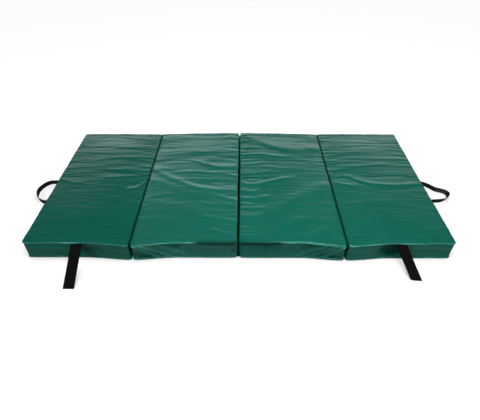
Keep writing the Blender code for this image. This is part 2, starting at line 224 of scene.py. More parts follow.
def thick_sheet(name, middle, thickness, sharp_degrees=40):
    """A sheet with two faces and a rim. Its middle is a grid of points; each face lies
    half the thickness away along the cross product of the grid's two directions."""
    rows, columns = middle.shape[:2]
    across = np.gradient(middle, axis=1)
    along = np.gradient(middle, axis=0)
    normal = unit(np.cross(across, along))
    half = np.broadcast_to(np.asarray(thickness) / 2, (rows, columns))[..., None]
    points = np.concatenate([
        (middle + normal * half).reshape(-1, 3), (middle - normal * half).reshape(-1, 3)
    ])
    upper = grid_quads(rows, columns)
    lower = grid_quads(rows, columns, rows * columns)[:, ::-1]
    rim = rim_loop(rows, columns)
    quads = np.concatenate([upper, lower, loop_quads(rim + rows * columns, rim)])
    u, v = np.zeros((2, rows, columns))
    u[:, 1:] = np.cumsum(np.linalg.norm(np.diff(middle, axis=1), axis=-1), axis=1)
    v[1:] = np.cumsum(np.linalg.norm(np.diff(middle, axis=0), axis=-1), axis=0)
    u -= u[:, -1:] / 2
    flat_map = np.tile(np.stack([u.ravel(), v.ravel()], axis=1), (2, 1))
    piece = add_piece(name, points, quads, flat_map[quads.ravel()], sharp_degrees)
    piece["flat_width"] = float(np.median(u[:, -1] - u[:, 0]))
    piece["flat_length"] = float(np.median(v[-1]))
    return piece


# %% [markdown]
# Fabric folds are built from three simple shapes: a smooth ramp, soft noise, and a
# crest, which is the rounded top of one wrinkle. A wrinkle is a crest carried along a
# curve. The large ones are placed after the photograph, and random small ones fill in
# between. For the top sheets, a cloth simulation then settles these shapes.

# %% Ramps, noise and crests


def ramp(t):
    """Rises from 0 to 1 with level ends: 3t squared minus 2t cubed."""
    t = np.clip(t, 0.0, 1.0)
    return t * t * (3 - 2 * t)


def soft_noise(x, y, cell_x, cell_y, seed):
    """Random heights from -1 to 1 at the corners of cells, joined by smooth ramps."""
    size = 97
    heights = np.random.default_rng(seed).uniform(-1, 1, (size, size))
    a, b = x / cell_x, y / cell_y
    i, j = np.floor(a).astype(int), np.floor(b).astype(int)
    s, t = ramp(a - i), ramp(b - j)
    near = heights[i % size, j % size] * (1 - s) + heights[(i + 1) % size, j % size] * s
    far = heights[i % size, (j + 1) % size] * (1 - s) + heights[(i + 1) % size, (j + 1) % size] * s
    return near * (1 - t) + far * t


def line_noise(along, cell, seed):
    """Soft noise along a line alone."""
    return soft_noise(along, along * 0, cell, 1.0, seed)


def crest(u):
    """The height of a wrinkle across its line: one over (1 + u squared) to the power 1.5."""
    return (1 + u * u) ** -1.5


def curve_height(points, x):
    """A smooth curve through points, read at x: cubic stretches with shared slopes."""
    px, py = np.array(points, float).T
    slopes = np.gradient(py, px)
    k = np.clip(np.searchsorted(px, x) - 1, 0, len(px) - 2)
    span = px[k + 1] - px[k]
    t = np.clip((x - px[k]) / span, 0, 1)
    rise = ramp(t)
    bend = span * t * (1 - t) * ((1 - t) * slopes[k] - t * slopes[k + 1])
    return py[k] * (1 - rise) + py[k + 1] * rise + bend


def smooth_path(points, steps):
    """A smooth path through points in space, with equal steps between each two."""
    points = np.array(points, float)
    padded = np.vstack([points[:1], points, points[-1:]])
    t = (np.arange(steps) / steps)[None, :, None]
    before, here, there, after = (padded[k:len(padded) - 3 + k][:, None, :] for k in range(4))
    path = 0.5 * (
        2 * here + (there - before) * t
        + (2 * before - 5 * here + 4 * there - after) * t ** 2
        + (3 * here - before - 3 * there + after) * t ** 3
    )
    return np.vstack([path.reshape(-1, points.shape[1]), points[-1:]])


# %% [markdown]
# ## The panels
# Each panel is a foam block in a tight cover. The top sheet is crowned by the foam,
# rolls over the edge and is sewn to the side walls in a turned seam. The walls draw in
# between the top and base seams. One closed grid makes all of it: a top, rings of wall
# points and a base.

# %% Sizes of the panels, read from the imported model
PANELS = (1, 2, 3, 4)
COVER_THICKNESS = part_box("base_skin_1")[1].z
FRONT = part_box("top_skin_1")[0].y
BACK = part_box("top_skin_1")[1].y
EDGE_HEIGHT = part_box("top_skin_1")[0].z + COVER_THICKNESS
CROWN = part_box("top_skin_1")[1].z - EDGE_HEIGHT
CROWN_RUN = 0.200
CORNER_RADIUS = 0.014
# How far the walls are drawn in between their seams
WALL_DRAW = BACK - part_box("zip_chain_1")[0].y + 0.0003
# Walls as panel and wall number, where 0 to 3 are front, right, back and left
HINGED_WALLS = ((1, 1), (2, 3), (3, 1), (4, 3))
FACING_WALLS = ((2, 1), (3, 3))
END_WALLS = ((1, 3), (4, 1))
# Radii of the rolled edges
TOP_ROLL = 0.0065
HINGED_ROLL = 0.0010
FACING_ROLL = 0.0015
END_ROLL = 0.0035
BASE_ROLL = 0.0035
# The seams' bead and groove, and how far they wander
BEAD_HEIGHT = 0.0010
BEAD_WIDTH = 0.0010
BEAD_PLACE = 0.0010
GROOVE_DEPTH = 0.0016
GROOVE_WIDTH = 0.0010
GROOVE_PLACE = 0.0034
SEAM_SWAY = 0.0018
SWAY_REACH = 0.010
GAP_SWAY_SHARE = 0.5
# How far the walls of the middle gap bulge into it, at the front and at the back
FACING_BULGE = (0.0020, 0.0062)
# The most that the folds stand out on the front walls and on the others
STAND_OUT = {1: 0.0030, 2: 0.0080, 3: 0.0080, 4: 0.0030}
OTHER_STAND_OUT = 0.0006
# Margin and depth of the flat places that sewn things press into the walls
SEWN_MARGIN = 0.012
SEWN_PRESS = 0.0004
# The base seam's bead and groove, as a share of the top seam's
BASE_SEAM_SHARE = 0.6
# The cloth's grid is too coarse for the finest puckers, so a share of them is laid on top
# of it, less of it right at the seams, with two fine ripples: height, cells and seed
FINE_FANS = 0.4
FANS_AT_SEAM = 0.35
FINE_RIPPLES = ((0.00012, 0.020, 0.011, 41), (0.00034, 0.090, 0.013, 43))
# Painted light and shade of the cover, one number a point: a share of the folds' height,
# so that crests are painted lighter and valleys darker, and more at the front edge as a
# painted highlight. Negative values are painted shade, darker and dull: valleys, the seam
# grooves and, between these distances from the left edge, the front edge beside the middle gap
SHADED_EDGE = {2: (0.270, 0.315), 3: (0.225, 0.180)}
# Strength and width of the painted shade on the front edge beside the middle gap
EDGE_SHADE = 0.0082
EDGE_SHADE_WIDTH = 0.0130
TOP_PAINTED_LIGHT = 0.60
WALL_PAINTED_LIGHT = 1.10
WALL_PAINTED_LIGHT_LIMIT = 0.0085
# Strength of each panel's painted highlight along its front top edge, and its width
EDGE_HIGHLIGHTS = {1: 0.0125, 2: 0.0085, 3: 0.0090, 4: 0.0125}
EDGE_HIGHLIGHT_WIDTH = 0.0045
# Depth and width of the painted shade in the seam grooves beside the hinges
GROOVE_SHADE = 0.0110
GROOVE_SHADE_WIDTH = 0.0045
GRID_STEP = 0.0040
COVER_BASE = COVER_THICKNESS + 0.0003
ROLL_STEPS = 5
SEAM_RINGS = (
    0.0004, 0.0009, 0.0014, 0.0019, 0.0024, 0.0029, 0.0034, 0.0040, 0.0048, 0.0060, 0.0080, 0.0105
)
MIDDLE_RINGS = 16
EDGES = {n: (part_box(f"top_skin_{n}")[0].x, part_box(f"top_skin_{n}")[1].x) for n in PANELS}
print("panel widths, mm:", {n: round((b - a) / MM, 1) for n, (a, b) in EDGES.items()})
for label, size in (("edge height", EDGE_HEIGHT), ("crown", CROWN), ("wall draw", WALL_DRAW)):
    print(label, "mm:", round(size / MM, 2))

# %% [markdown]
# The photograph's main wrinkles are given here for each panel, in millimetres: a height,
# a width, and then points, each by its distance from the left and from the front edge.
# They fan out from the seams, where the stitching gathers the cloth. Panels 2 and 3
# have the strongest fans on both sides of the middle gap, panel 4 has fine ripples in
# its back half, and panel 1 is nearly smooth in front.

# %% Wrinkles of the top sheets
WRINKLES = {
    1: [
        (1.6, 12, 10, 500, 100, 463, 185, 461),
        (0.9, 14, 35, 835, 224, 835, 450, 819),
        (1, 12, 34, 776, 244, 752, 466, 779),
        (1.2, 16, 54, 656, 256, 705, 468, 715),
        (1.2, 13, 48, 566, 252, 583, 491, 588),
        (1.8, 8, 380, 406, 448, 429, 492, 491),
        (1.2, 10, 189, 502, 354, 518, 490, 546),
        (0.3, 12, 109, 244, 299, 233, 491, 256),
    ],
    2: [
        (4.6, 17, 10, 600, 100, 520, 190, 455, 283, 405, 386, 388, 494, 395),
        (2.8, 10, 189, 684, 279, 649, 366, 608, 492, 610),
        (-1.6, 10, 270, 555, 377, 572, 492, 574),
        (-1.6, 12, 319, 452, 414, 461, 494, 465),
        (2, 9, 286, 377, 397, 337, 489, 298),
        (2.2, 10, 263, 294, 370, 267, 489, 252),
        (2.2, 9, 281, 193, 377, 169, 489, 145),
        (1.8, 9, 332, 98, 410, 71, 489, 46),
        (1.4, 8, 5, 491, 66, 475, 125, 460),
        (1.2, 10, 5, 338, 101, 359, 195, 356),
        (1.6, 8, 329, 795, 409, 791, 494, 786),
        (1.8, 8, 341, 738, 412, 727, 494, 730),
        (1.2, 18, 74, 752, 249, 783, 494, 835),
        (4, 32, 0, 500, 120, 440, 250, 365, 380, 315, 494, 295),
        (2, 30, 0, 330, 200, 250, 350, 215, 494, 200),
    ],
    3: [
        (4, 28, 5, 975, 117, 885, 230, 817, 362, 794, 482, 820),
        (-2.6, 26, 45, 900, 150, 820, 300, 740),
        (2, 10, 3, 725, 113, 742, 224, 718, 301, 708),
        (1.8, 9, 3, 648, 78, 639, 162, 667),
        (2, 10, 3, 546, 92, 546, 190, 573),
        (2.6, 9, 3, 465, 52, 442, 114, 452, 209, 484, 323, 512),
        (-1.4, 9, 3, 498, 68, 496, 131, 486),
        (1.8, 8, 3, 388, 52, 379, 120, 395),
        (1.8, 9, 3, 328, 88, 321, 178, 349),
        (1.8, 9, 3, 248, 87, 241, 159, 255),
        (3.6, 34, 3, 152, 99, 177, 194, 246, 313, 344, 494, 468),
        (3, 28, 5, 45, 130, 68, 249, 131, 384, 199),
        (3, 20, 244, 12, 336, 56, 459, 139),
    ],
    4: [
        (2.8, 11, 22, 555, 99, 533, 146, 491, 211, 456, 287, 441, 491, 458),
        (-1.6, 12, 16, 510, 99, 500, 160, 455, 230, 415),
        (-1.6, 10, 116, 560, 198, 514, 275, 517, 482, 529),
        (1.8, 8, 9, 480, 76, 458, 140, 424),
        (1.8, 12, 27, 636, 166, 620, 333, 635, 469, 619),
        (0.7, 9, 10, 917, 135, 902, 490, 927),
        (1, 8, 16, 838, 216, 849, 490, 862),
        (1, 8, 13, 762, 199, 772, 480, 765),
        (1.1, 9, 14, 713, 220, 706, 486, 699),
        (0.8, 12, 4, 316, 127, 300, 352, 288),
        (0.6, 14, 4, 182, 152, 165, 401, 144),
    ],
}

# Puckers that fan out of the left and right seam of each panel: how many, how far in,
# how high, and how much of that height is left towards the front
FANS = {
    1: {"left": (26, 0.070, 0.0008, 0.4), "right": (30, 0.110, 0.0010, 0.5)},
    2: {"left": (30, 0.090, 0.0010, 0.7), "right": (38, 0.150, 0.0018, 0.9)},
    3: {"left": (40, 0.150, 0.0019, 1.0), "right": (30, 0.090, 0.0010, 0.4)},
    4: {"left": (44, 0.120, 0.0014, 0.3), "right": (40, 0.110, 0.0012, 0.3)},
}
# A wrinkle that starts within this distance of a seam doesn't fade out there
AT_SEAM = 0.012
WRINKLE_FADE = 0.35
# Long ripples and slow waves of the starting shape, by panel, and the share of them that
# is left in the front half
RIPPLE_HEIGHTS = {1: 0.0010, 2: 0.0011, 3: 0.0008, 4: 0.0010}
BROAD_HEIGHTS = {1: 0.0015, 2: 0.0024, 3: 0.0020, 4: 0.0007}
FRONT_SHARES = {1: 0.10, 2: 0.35, 3: 0.35, 4: 0.12}
# The cloth draws wrinkles narrower and lower, so they start wider and higher
START_WIDENING = 1.7
START_GROWTH = 1.45


def placed_wrinkle(across, along, width_here, points, height, width):
    """One wrinkle: a crest about a curve, fading out at each end that isn't at a seam."""
    start, end = points[0][0], points[-1][0]
    fade = WRINKLE_FADE * (end - start)
    begin = 1.0 if start < AT_SEAM else ramp((across - start) / fade)
    finish = 1.0 if end > width_here - AT_SEAM else ramp((end - across) / fade)
    line = curve_height(points, across)
    return height * begin * finish * crest((along - line) / width)


def fan_of_puckers(inward, along, length_y, count, reach, height, front_share, seed):
    """Many short wrinkles square to a seam, each with its own length, drift and width.
    Their heights fade inwards, and a share of the mean is taken off to keep the level."""
    random = np.random.default_rng(seed)
    total = np.zeros_like(inward)
    for k in range(count):
        place = length_y * (k + random.uniform(0.15, 0.85)) / count
        length = reach * random.uniform(0.35, 1.5)
        drift = random.normal(0.0, 0.12) * length
        width = random.uniform(0.0045, 0.0095)
        strength = height * random.uniform(0.2, 1.5)
        line = place + drift * ramp(inward / length)
        spread = width * (1 + 1.2 * np.clip(inward / length, 0, 1))
        level = 2 * spread / length_y
        total += strength * (1 - ramp(inward / length)) * (crest((along - line) / spread) - level)
    back_share = front_share + (1 - front_share) * ramp((along / length_y - 0.30) / 0.40)
    return total * back_share


def seam_fans(number, across, along, width_here, length_y):
    """The puckers along all four edges of one top sheet."""
    total = np.zeros_like(across)
    for side, inward in (("left", across), ("right", width_here - across)):
        count, reach, height, front_share = FANS[number][side]
        seed = 10 * number + len(side)
        total += fan_of_puckers(inward, along, length_y, count, reach, height, front_share, seed)
    for k, inward in enumerate((along, length_y - along)):
        total += fan_of_puckers(inward, across, width_here, 16, 0.05, 0.0007, 1.0, 70 + 2 * number + k)
    return total


def gathered_start(number, across, along, width_here, length_y):
    """The shape that the cloth starts from: placed wrinkles, long ripples and slow waves."""
    total = np.zeros_like(across)
    for height, width, *places in WRINKLES[number]:
        points = MM * np.array(places).reshape(-1, 2)
        total += placed_wrinkle(
            across, along, width_here, points, START_GROWTH * height * MM, START_WIDENING * width * MM
        )
    sway = along + 0.012 * soft_noise(across, along, 0.12, 0.10, 5 * number)
    front_share = FRONT_SHARES[number]
    back_half = front_share + (1 - front_share) * ramp((along / length_y - 0.35) / 0.3)
    total += RIPPLE_HEIGHTS[number] * back_half * soft_noise(across, sway, 0.16, 0.024, 31 * number)
    total += BROAD_HEIGHTS[number] * back_half * soft_noise(across, sway, 0.26, 0.055, 37 * number)
    edge = np.minimum(np.minimum(across, width_here - across), np.minimum(along, length_y - along))
    return (total + 0.6 * seam_fans(number, across, along, width_here, length_y)) * ramp(edge / 0.016)


# %% [markdown]
# The walls have folds of their own. At the front ends of the two top hinges the
# hinge pulls the corner of panels 2 and 3 up, so folds run down and away from it.

# %% Creases of the walls
# In millimetres. Each crease is its height, its width, and its two ends by distance along
# the wall and height above the floor. Each dent is its middle, its two reaches and its
# depth; the dents lie beside the straps, where the seam is pulled in. Their depth also
# paints them darker, a painted shade that stands for the straps' shadow on the wall.
FRONT_CREASES = {
    1: [
        (3, 9, 5, 64, 190, 58), (2.5, 10, 330, 30, 420, 12), (2.5, 8, 400, 66, 480, 50),
    ],
    2: [
        (8.5, 11, 10, 90, 114, 10), (8.5, 10, 40, 88, 176, 8), (4.6, 8, 75, 90, 200, 26),
        (6.5, 10, 116, 86, 256, 14), (3, 4, 232, 72, 238, 10), (2.6, 4, 246, 70, 251, 14),
        (1.4, 10, 300, 80, 400, 70), (3, 8, 487, 92, 440, 30),
    ],
    3: [
        (7.5, 11, 400, 86, 262, 8), (8.5, 11, 486, 92, 390, 6), (6, 10, 450, 90, 330, 8),
        (3.4, 5, 264, 76, 243, 10), (1.4, 12, 20, 60, 160, 50),
    ],
    4: [
        (2.6, 10, 10, 70, 120, 40), (3.4, 9, 300, 66, 490, 60), (2.2, 10, 330, 30, 480, 22),
    ],
}
FRONT_DENTS = {
    1: [(298, 56, 54, 42, 6), (30, 84, 150, 10, 2)],
    2: [(470, 60, 30, 40, 3)],
    3: [(100, 60, 80, 40, 3)],
    4: [(200, 54, 62, 50, 9.5), (400, 46, 120, 12, 2.4)],
}


def straight_crease(a, z, start, end, width):
    """A crest about the straight line from start to end, fading out past both ends."""
    way = np.subtract(end, start)
    length = np.linalg.norm(way)
    along = ((a - start[0]) * way[0] + (z - start[1]) * way[1]) / length
    aside = ((a - start[0]) * way[1] - (z - start[1]) * way[0]) / length
    fade = ramp(1 + along / 0.010) * ramp(1 + (length - along) / 0.012)
    return fade * (crest(aside / width) - 0.25)


def random_creases(a, z, length, count, seed):
    """Slanting creases down a wall, at random places."""
    random = np.random.default_rng(seed)
    total = np.zeros_like(a)
    for _ in range(count):
        place = random.uniform(0, length)
        lean = random.normal(0, 0.030)
        top, low = random.uniform(0.070, 0.094), random.uniform(0.010, 0.040)
        height = random.uniform(0.0003, 0.0010)
        width = random.uniform(0.004, 0.008)
        total += height * straight_crease(a, z, (place, top), (place + lean, low), width)
    return total


def wall_folds(number, wall, a, z, length):
    """How far one wall stands out from its plain drawn-in shape, held flat at the seams."""
    seed = 100 * number + 10 * wall
    total = 0.0011 * soft_noise(a, z, 0.085, 0.060, seed + 1)
    total += 0.0004 * soft_noise(a, z, 0.030, 0.020, seed + 2)
    if wall == 0:
        for height, width, *ends in FRONT_CREASES[number]:
            start, end = MM * np.array(ends).reshape(2, 2)
            total += MM * height * straight_crease(a, z, start, end, MM * width)
        for place, level, reach_a, reach_z, depth in MM * np.array(FRONT_DENTS[number]):
            total -= depth * np.exp(-((a - place) / reach_a) ** 2 - ((z - level) / reach_z) ** 2)
        total += random_creases(a, z, length, 6, seed + 3)
    else:
        total += random_creases(a, z, length, round(14 * length), seed + 3)
    held = ramp(z / 0.012) * ramp((EDGE_HEIGHT - z) / 0.014)
    return total * held


# %% [markdown]
# Sewn things need a flat wall behind them: the zip on the back wall, and the ends of
# the handles on the two end walls. The folds are pressed out there, and also where the
# closing straps cross the front walls of the folded stack.

# %% Flat places on the walls
# Where the straps cross a panel's front wall, from its left edge
STRAP_REST = {2: (0.205, 0.325), 3: (0.165, 0.285)}


def flat_patch(low, high, a, z, margin):
    """One inside a rectangle and nothing past its margin, with ramps between."""
    inside_a = np.minimum(a - low[0], high[0] - a)
    inside_z = np.minimum(z - low[1], high[1] - z)
    return ramp(1 + inside_a / margin) * ramp(1 + inside_z / margin)


def under_strap(number, along):
    """One along the part of a front wall that the closing straps cross when the mat is
    folded, and nothing past its margin."""
    start, end = STRAP_REST.get(number, (-1.0, -1.0))
    return ramp(1 + np.minimum(along - start, end - along) / 0.030)


def sewn_places(number):
    """Rectangles on the walls of a panel, as wall number, low corner and high corner."""
    right = EDGES[number][1]
    low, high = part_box(f"zip_chain_{number}")
    places = [(2, (right - high.x, low.z), (right - low.x, high.z))]
    for panel, side, wall in ((1, "left", 3), (4, "right", 1)):
        if panel != number:
            continue
        for end in ("front", "back"):
            low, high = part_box(f"handle_{side}_{end}_tab")
            if wall == 1:
                places.append((1, (low.y - FRONT, low.z), (high.y - FRONT, high.z)))
            else:
                places.append((3, (BACK - high.y, low.z), (BACK - low.y, high.z)))
    return places


# %% [markdown]
# The starting shapes become real cloth in a short simulation. The sheet is cut a little
# longer than its place, most of all along the seams, and is sewn down at its border
# over the crowned foam. With nowhere to go, the spare length buckles into wrinkles, and
# the shape it starts from decides where they run.

# %% Gathered cloth
CLOTH_STEP = 0.0085
CLOTH_FRAMES = 22
CLOTH_BENDING = 8.0
FOAM_CROWN_SHARE = 0.78
# Folds above the crown are held under this height, to leave room for the folded stack
FOLD_LIMIT = 0.0062
# The share of the starting shape in the result
KEPT_SHARE = 0.55
ACROSS_SHARE = 0.40
# Beside the side seams, within this distance, the folds are levelled about their mean
LEVEL_REACH = 0.060
# Spare length at the left seam, in the middle and at the right seam, and the share of
# it that the front half has
SPARE_LENGTH = {
    1: (0.0030, 0.0020, 0.0040, 0.10),
    2: (0.0030, 0.0020, 0.0090, 0.70),
    3: (0.0090, 0.0020, 0.0030, 0.70),
    4: (0.0060, 0.0030, 0.0050, 0.15),
}


def crown_over(across, along, width_here, length_y):
    """The foam's crown: a smooth ramp from each edge inwards, level at both ends. It runs
    to the middle line across, and over a fixed length along; the two are multiplied."""
    side = np.minimum(across, width_here - across)
    end = np.minimum(along, length_y - along)
    return CROWN * ramp(side / (width_here / 2)) * ramp(end / CROWN_RUN)


def length_so_far(flat, height, axis):
    """The sheet's own length from its first border, along one axis of the grid: the sum
    of the roots of step squared plus rise squared."""
    steps = np.hypot(np.diff(flat, axis=axis), np.diff(height, axis=axis))
    start = np.take(flat, [0], axis=axis)
    return np.concatenate([start, start + np.cumsum(steps, axis=axis)], axis=axis)


def cut_places(number, across, along, start, width_here, length_y):
    """Where each point lies on the cut sheet: its own length across and along, plus the
    spare length, which is summed up from the front. Across, the sheet is cut tighter, so
    that it lies flat beside the side seams."""
    at_left, middle, at_right, front_share = SPARE_LENGTH[number]
    spare = (
        middle + at_left * np.exp(-across / 0.12) + at_right * np.exp(-(width_here - across) / 0.15)
    )
    spare = spare * (front_share + (1 - front_share) * ramp((along / length_y - 0.35) / 0.30))
    longer = np.cumsum(spare, axis=0) * along[1, 0]
    cut_x = across + ACROSS_SHARE * (length_so_far(across, start, 1) - across)
    cut_y = length_so_far(along, start, 0) + longer
    return np.stack([cut_x, cut_y, np.zeros_like(across)], axis=-1)


def plain_object(name, grid):
    """A temporary object from a grid of points."""
    mesh = bpy.data.meshes.new(name)
    rows, columns = grid.shape[:2]
    mesh.from_pydata(grid.reshape(-1, 3).tolist(), [], grid_quads(rows, columns).tolist())
    return new_object(name, mesh)


def set_up_cloth(sheet, cut, border):
    """Cloth that is stiff enough to bend in folds of 20 mm and more, pinned at its border."""
    pinned = sheet.vertex_groups.new(name="pinned")
    pinned.add(border, 1.0, "REPLACE")
    cloth = sheet.modifiers.new("gathered", "CLOTH")
    settings = cloth.settings
    settings.quality = 6
    settings.mass = 0.05
    settings.tension_stiffness = 40
    settings.compression_stiffness = 40
    settings.shear_stiffness = 12
    settings.tension_damping = 10
    settings.compression_damping = 10
    settings.shear_damping = 10
    settings.bending_model = "ANGULAR"
    settings.bending_stiffness = CLOTH_BENDING
    settings.bending_damping = 0.5
    settings.air_damping = 4
    settings.vertex_group_mass = pinned.name
    settings.rest_shape_key = cut
    settings.effector_weights.gravity = 0.2
    cloth.collision_settings.distance_min = 0.001
    cloth.point_cache.frame_start = 1
    cloth.point_cache.frame_end = CLOTH_FRAMES


def gathered_sheet(number, width_here, length_y):
    """Runs the cloth of one top sheet. The result is its height above the seam at the
    points of a coarse grid, with that grid's two rows of places."""
    across_line = np.linspace(0, width_here, round(width_here / CLOTH_STEP) + 1)
    along_line = np.linspace(0, length_y, round(length_y / CLOTH_STEP) + 1)
    across, along = np.meshgrid(across_line, along_line)
    foam_height = FOAM_CROWN_SHARE * crown_over(across, along, width_here, length_y)
    start = foam_height + gathered_start(number, across, along, width_here, length_y)
    sheet = plain_object("sheet", np.stack([across, along, start], axis=-1))
    sheet.shape_key_add(name="start")
    cut = sheet.shape_key_add(name="cut")
    places = cut_places(number, across, along, start, width_here, length_y)
    cut.data.foreach_set("co", places.astype(np.float32).ravel())
    cut.value = 0.0
    set_up_cloth(sheet, cut, rim_loop(*across.shape).tolist())
    foam = plain_object("foam", np.stack([across, along, foam_height - 0.0005], axis=-1))
    foam.modifiers.new("support", "COLLISION")
    foam.collision.thickness_outer = 0.001
    scene = bpy.context.scene
    for frame in range(1, CLOTH_FRAMES + 1):
        scene.frame_set(frame)
    result = sheet.evaluated_get(bpy.context.evaluated_depsgraph_get()).to_mesh()
    places = np.empty(across.size * 3, np.float32)
    result.vertices.foreach_get("co", places)
    for thing in (sheet, foam):
        bpy.data.objects.remove(thing, do_unlink=True)
    scene.frame_set(1)
    settled = places.reshape(*across.shape, 3)[..., 2].astype(float)
    return across_line, along_line, KEPT_SHARE * start + (1 - KEPT_SHARE) * settled


def cubic_weights(line, places):
    """A matrix that reads evenly spaced values at other places, by a cubic through the
    four nearest."""
    t = np.clip(places, line[0], line[-1]) / (line[1] - line[0])
    k = np.clip(np.floor(t).astype(int), 0, len(line) - 2)
    t = t - k
    shares = (
        0.5 * (-t + 2 * t ** 2 - t ** 3), 0.5 * (2 - 5 * t ** 2 + 3 * t ** 3),
        0.5 * (t + 4 * t ** 2 - 3 * t ** 3), 0.5 * (-t ** 2 + t ** 3),
    )
    weights = np.zeros((len(places), len(line)))
    for shift, share in zip((-1, 0, 1, 2), shares):
        np.add.at(weights, (np.arange(len(places)), np.clip(k + shift, 0, len(line) - 1)), share)
    return weights


gathered = {}
for number in PANELS:
    left, right = EDGES[number]
    gathered[number] = gathered_sheet(number, right - left, BACK - FRONT)
    heights = gathered[number][2]
    print("sheet", number, "mean and highest point above its seam, mm:",
          round(heights.mean() / MM, 2), round(heights.max() / MM, 2),
          "and mean height 9 mm in from its left and right seams:",
          round(heights[:, 1].mean() / MM, 2), round(heights[:, -2].mean() / MM, 2))

# %% [markdown]
# Now the closed grid itself. Grid lines lie close together where the cover rolls over
# its edge, and evenly over the rest. A square grid gets round corners by the classic
# map from a square to a disc, used on each corner alone.

# %% The closed cover


def grid_lines(low, high, step, low_roll, high_roll):
    """Places of grid lines: by equal angles over each rolled edge, evenly between them."""
    share = 1 - np.cos(np.linspace(0, math.pi / 2, ROLL_STEPS + 1)[:-1])
    start, end = low + low_roll, high - high_roll
    middle = np.linspace(start, end, round((end - start) / step) + 1)
    return np.concatenate([low + low_roll * share, middle, (high - high_roll * share)[::-1]])


def panel_corners(number, inset):
    """The low and the high corner of a panel's rectangle, drawn in on all sides."""
    left, right = EDGES[number]
    return (left + inset, FRONT + inset), (right - inset, BACK - inset)


def edge_rolls(number):
    """The roll's radius at the front, right, back and left edges of a panel."""
    rolls = [TOP_ROLL] * 4
    kinds = ((HINGED_WALLS, HINGED_ROLL), (FACING_WALLS, FACING_ROLL), (END_WALLS, END_ROLL))
    for walls, roll in kinds:
        for wall in sides_of(number, walls):
            rolls[wall] = roll
    return rolls


def round_corners(x, y, low, high):
    """Draws each corner square of a grid onto a quarter disc: each of its two
    coordinates shrinks by the root of one minus half the other squared."""
    (left, front), (right, back) = low, high
    radius = CORNER_RADIUS
    mid_x, mid_y = (left + right) / 2, (front + back) / 2
    half_x, half_y = (right - left) / 2 - radius, (back - front) / 2 - radius
    a = np.clip((np.abs(x - mid_x) - half_x) / radius, 0, 1)
    b = np.clip((np.abs(y - mid_y) - half_y) / radius, 0, 1)
    new_x = np.where(a > 0, half_x + radius * a * np.sqrt(1 - b * b / 2), np.abs(x - mid_x))
    new_y = np.where(b > 0, half_y + radius * b * np.sqrt(1 - a * a / 2), np.abs(y - mid_y))
    return mid_x + np.sign(x - mid_x) * new_x, mid_y + np.sign(y - mid_y) * new_y


def sides_of(number, walls):
    """The wall numbers that a list of panel and wall pairs gives for one panel."""
    return [wall for panel, wall in walls if panel == number]


def rolled(distance, roll):
    """How far a quarter-round edge has fallen at a distance in from the edge."""
    left_over = np.clip(roll - distance, 0, roll)
    return roll - np.sqrt(roll * roll - left_over * left_over)


def wall_names(loop, rows, columns):
    """Which wall each border point belongs to."""
    row, column = loop // columns, loop % columns
    wall = np.full(len(loop), 3)
    wall[column == columns - 1] = 1
    wall[row == rows - 1] = 2
    wall[row == 0] = 0
    return wall


def seam_profile(distance, fullness):
    """A turned seam seen from the side: a bead beside the stitches, then the groove that
    the stitches pull in. Each is a bell curve of the distance from the seam."""
    bead = BEAD_HEIGHT * np.exp(-((distance - BEAD_PLACE) / BEAD_WIDTH) ** 2)
    groove = GROOVE_DEPTH * np.exp(-((distance - GROOVE_PLACE) / GROOVE_WIDTH) ** 2)
    return fullness * bead - groove


def seam_sway(along, seed):
    """How far a seam wanders from its straight line: slow waves and quicker ones."""
    slow, quick = line_noise(along, 0.075, seed), line_noise(along, 0.024, seed + 1)
    return SEAM_SWAY * (0.75 * slow + 0.35 * quick)


def top_grid(number, low, high, flat_x, flat_y, top_z, detail):
    """The top sheet as three grids of coordinates with its folds, the painted light and shade
    of each point, and its distance from the nearest edge."""
    (left, front), (right, back) = low, high
    x, y = round_corners(flat_x, flat_y, low, high)
    from_left, from_right = flat_x - left, right - flat_x
    from_front, from_back = flat_y - front, back - flat_y
    side_distance = np.minimum(from_left, from_right)
    end_distance = np.minimum(from_front, from_back)
    distance = np.minimum(side_distance, end_distance)
    crown = crown_over(from_left, from_front, right - left, back - front)
    folds = np.zeros_like(flat_x)
    if detail:
        across_line, along_line, heights = gathered[number]
        to_columns = cubic_weights(across_line, from_left[0])
        to_rows = cubic_weights(along_line, from_front[:, 0])
        fans = seam_fans(number, from_left, from_front, right - left, back - front)
        folds = to_rows @ heights @ to_columns.T - crown
        folds = np.where(folds > 0, FOLD_LIMIT * np.tanh(folds / FOLD_LIMIT), folds)
        share = FANS_AT_SEAM + (1 - FANS_AT_SEAM) * ramp(distance / 0.012)
        folds += FINE_FANS * fans * share
        for height, cell_x, cell_y, seed in FINE_RIPPLES:
            folds += height * soft_noise(from_left, from_front, cell_x, cell_y, seed * number)
        folds -= folds.mean(axis=0) * (1 - ramp(side_distance / LEVEL_REACH))
    edges = (
        (from_left, flat_y, -1, 0), (from_right, flat_y, 1, 0),
        (from_front, flat_x, 0, -1), (from_back, flat_x, 0, 1),
    )
    for k, (inward, along, out_x, out_y) in enumerate(edges):
        near = detail * np.exp(-inward / SWAY_REACH)
        seed = 500 + 20 * number + 4 * k
        out = near * seam_sway(along, seed) * (GAP_SWAY_SHARE if out_x else 1.0)
        if out_y < 0:
            out = out * (1 - under_strap(number, from_left))
        x, y = x + out_x * out, y + out_y * out
        folds = folds + near * seam_sway(along, seed + 2)
    inward = (from_front, from_right, from_back, from_left)
    fallen = np.max([rolled(way, roll) for way, roll in zip(inward, edge_rolls(number))], axis=0)
    # Painted highlight on the crests of the folds and painted shade in their valleys, with the front
    # edge's painted light
    painted_light = TOP_PAINTED_LIGHT * folds + detail * painted_edge_light(number, from_left, from_front)
    # Painted shade in the seam grooves beside the hinges, which also dulls their shine
    for wall in sides_of(number, HINGED_WALLS):
        painted_light -= detail * GROOVE_SHADE * np.exp(-(inward[wall] / GROOVE_SHADE_WIDTH) ** 2)
    return x, y, top_z + crown + folds - fallen, painted_light, distance


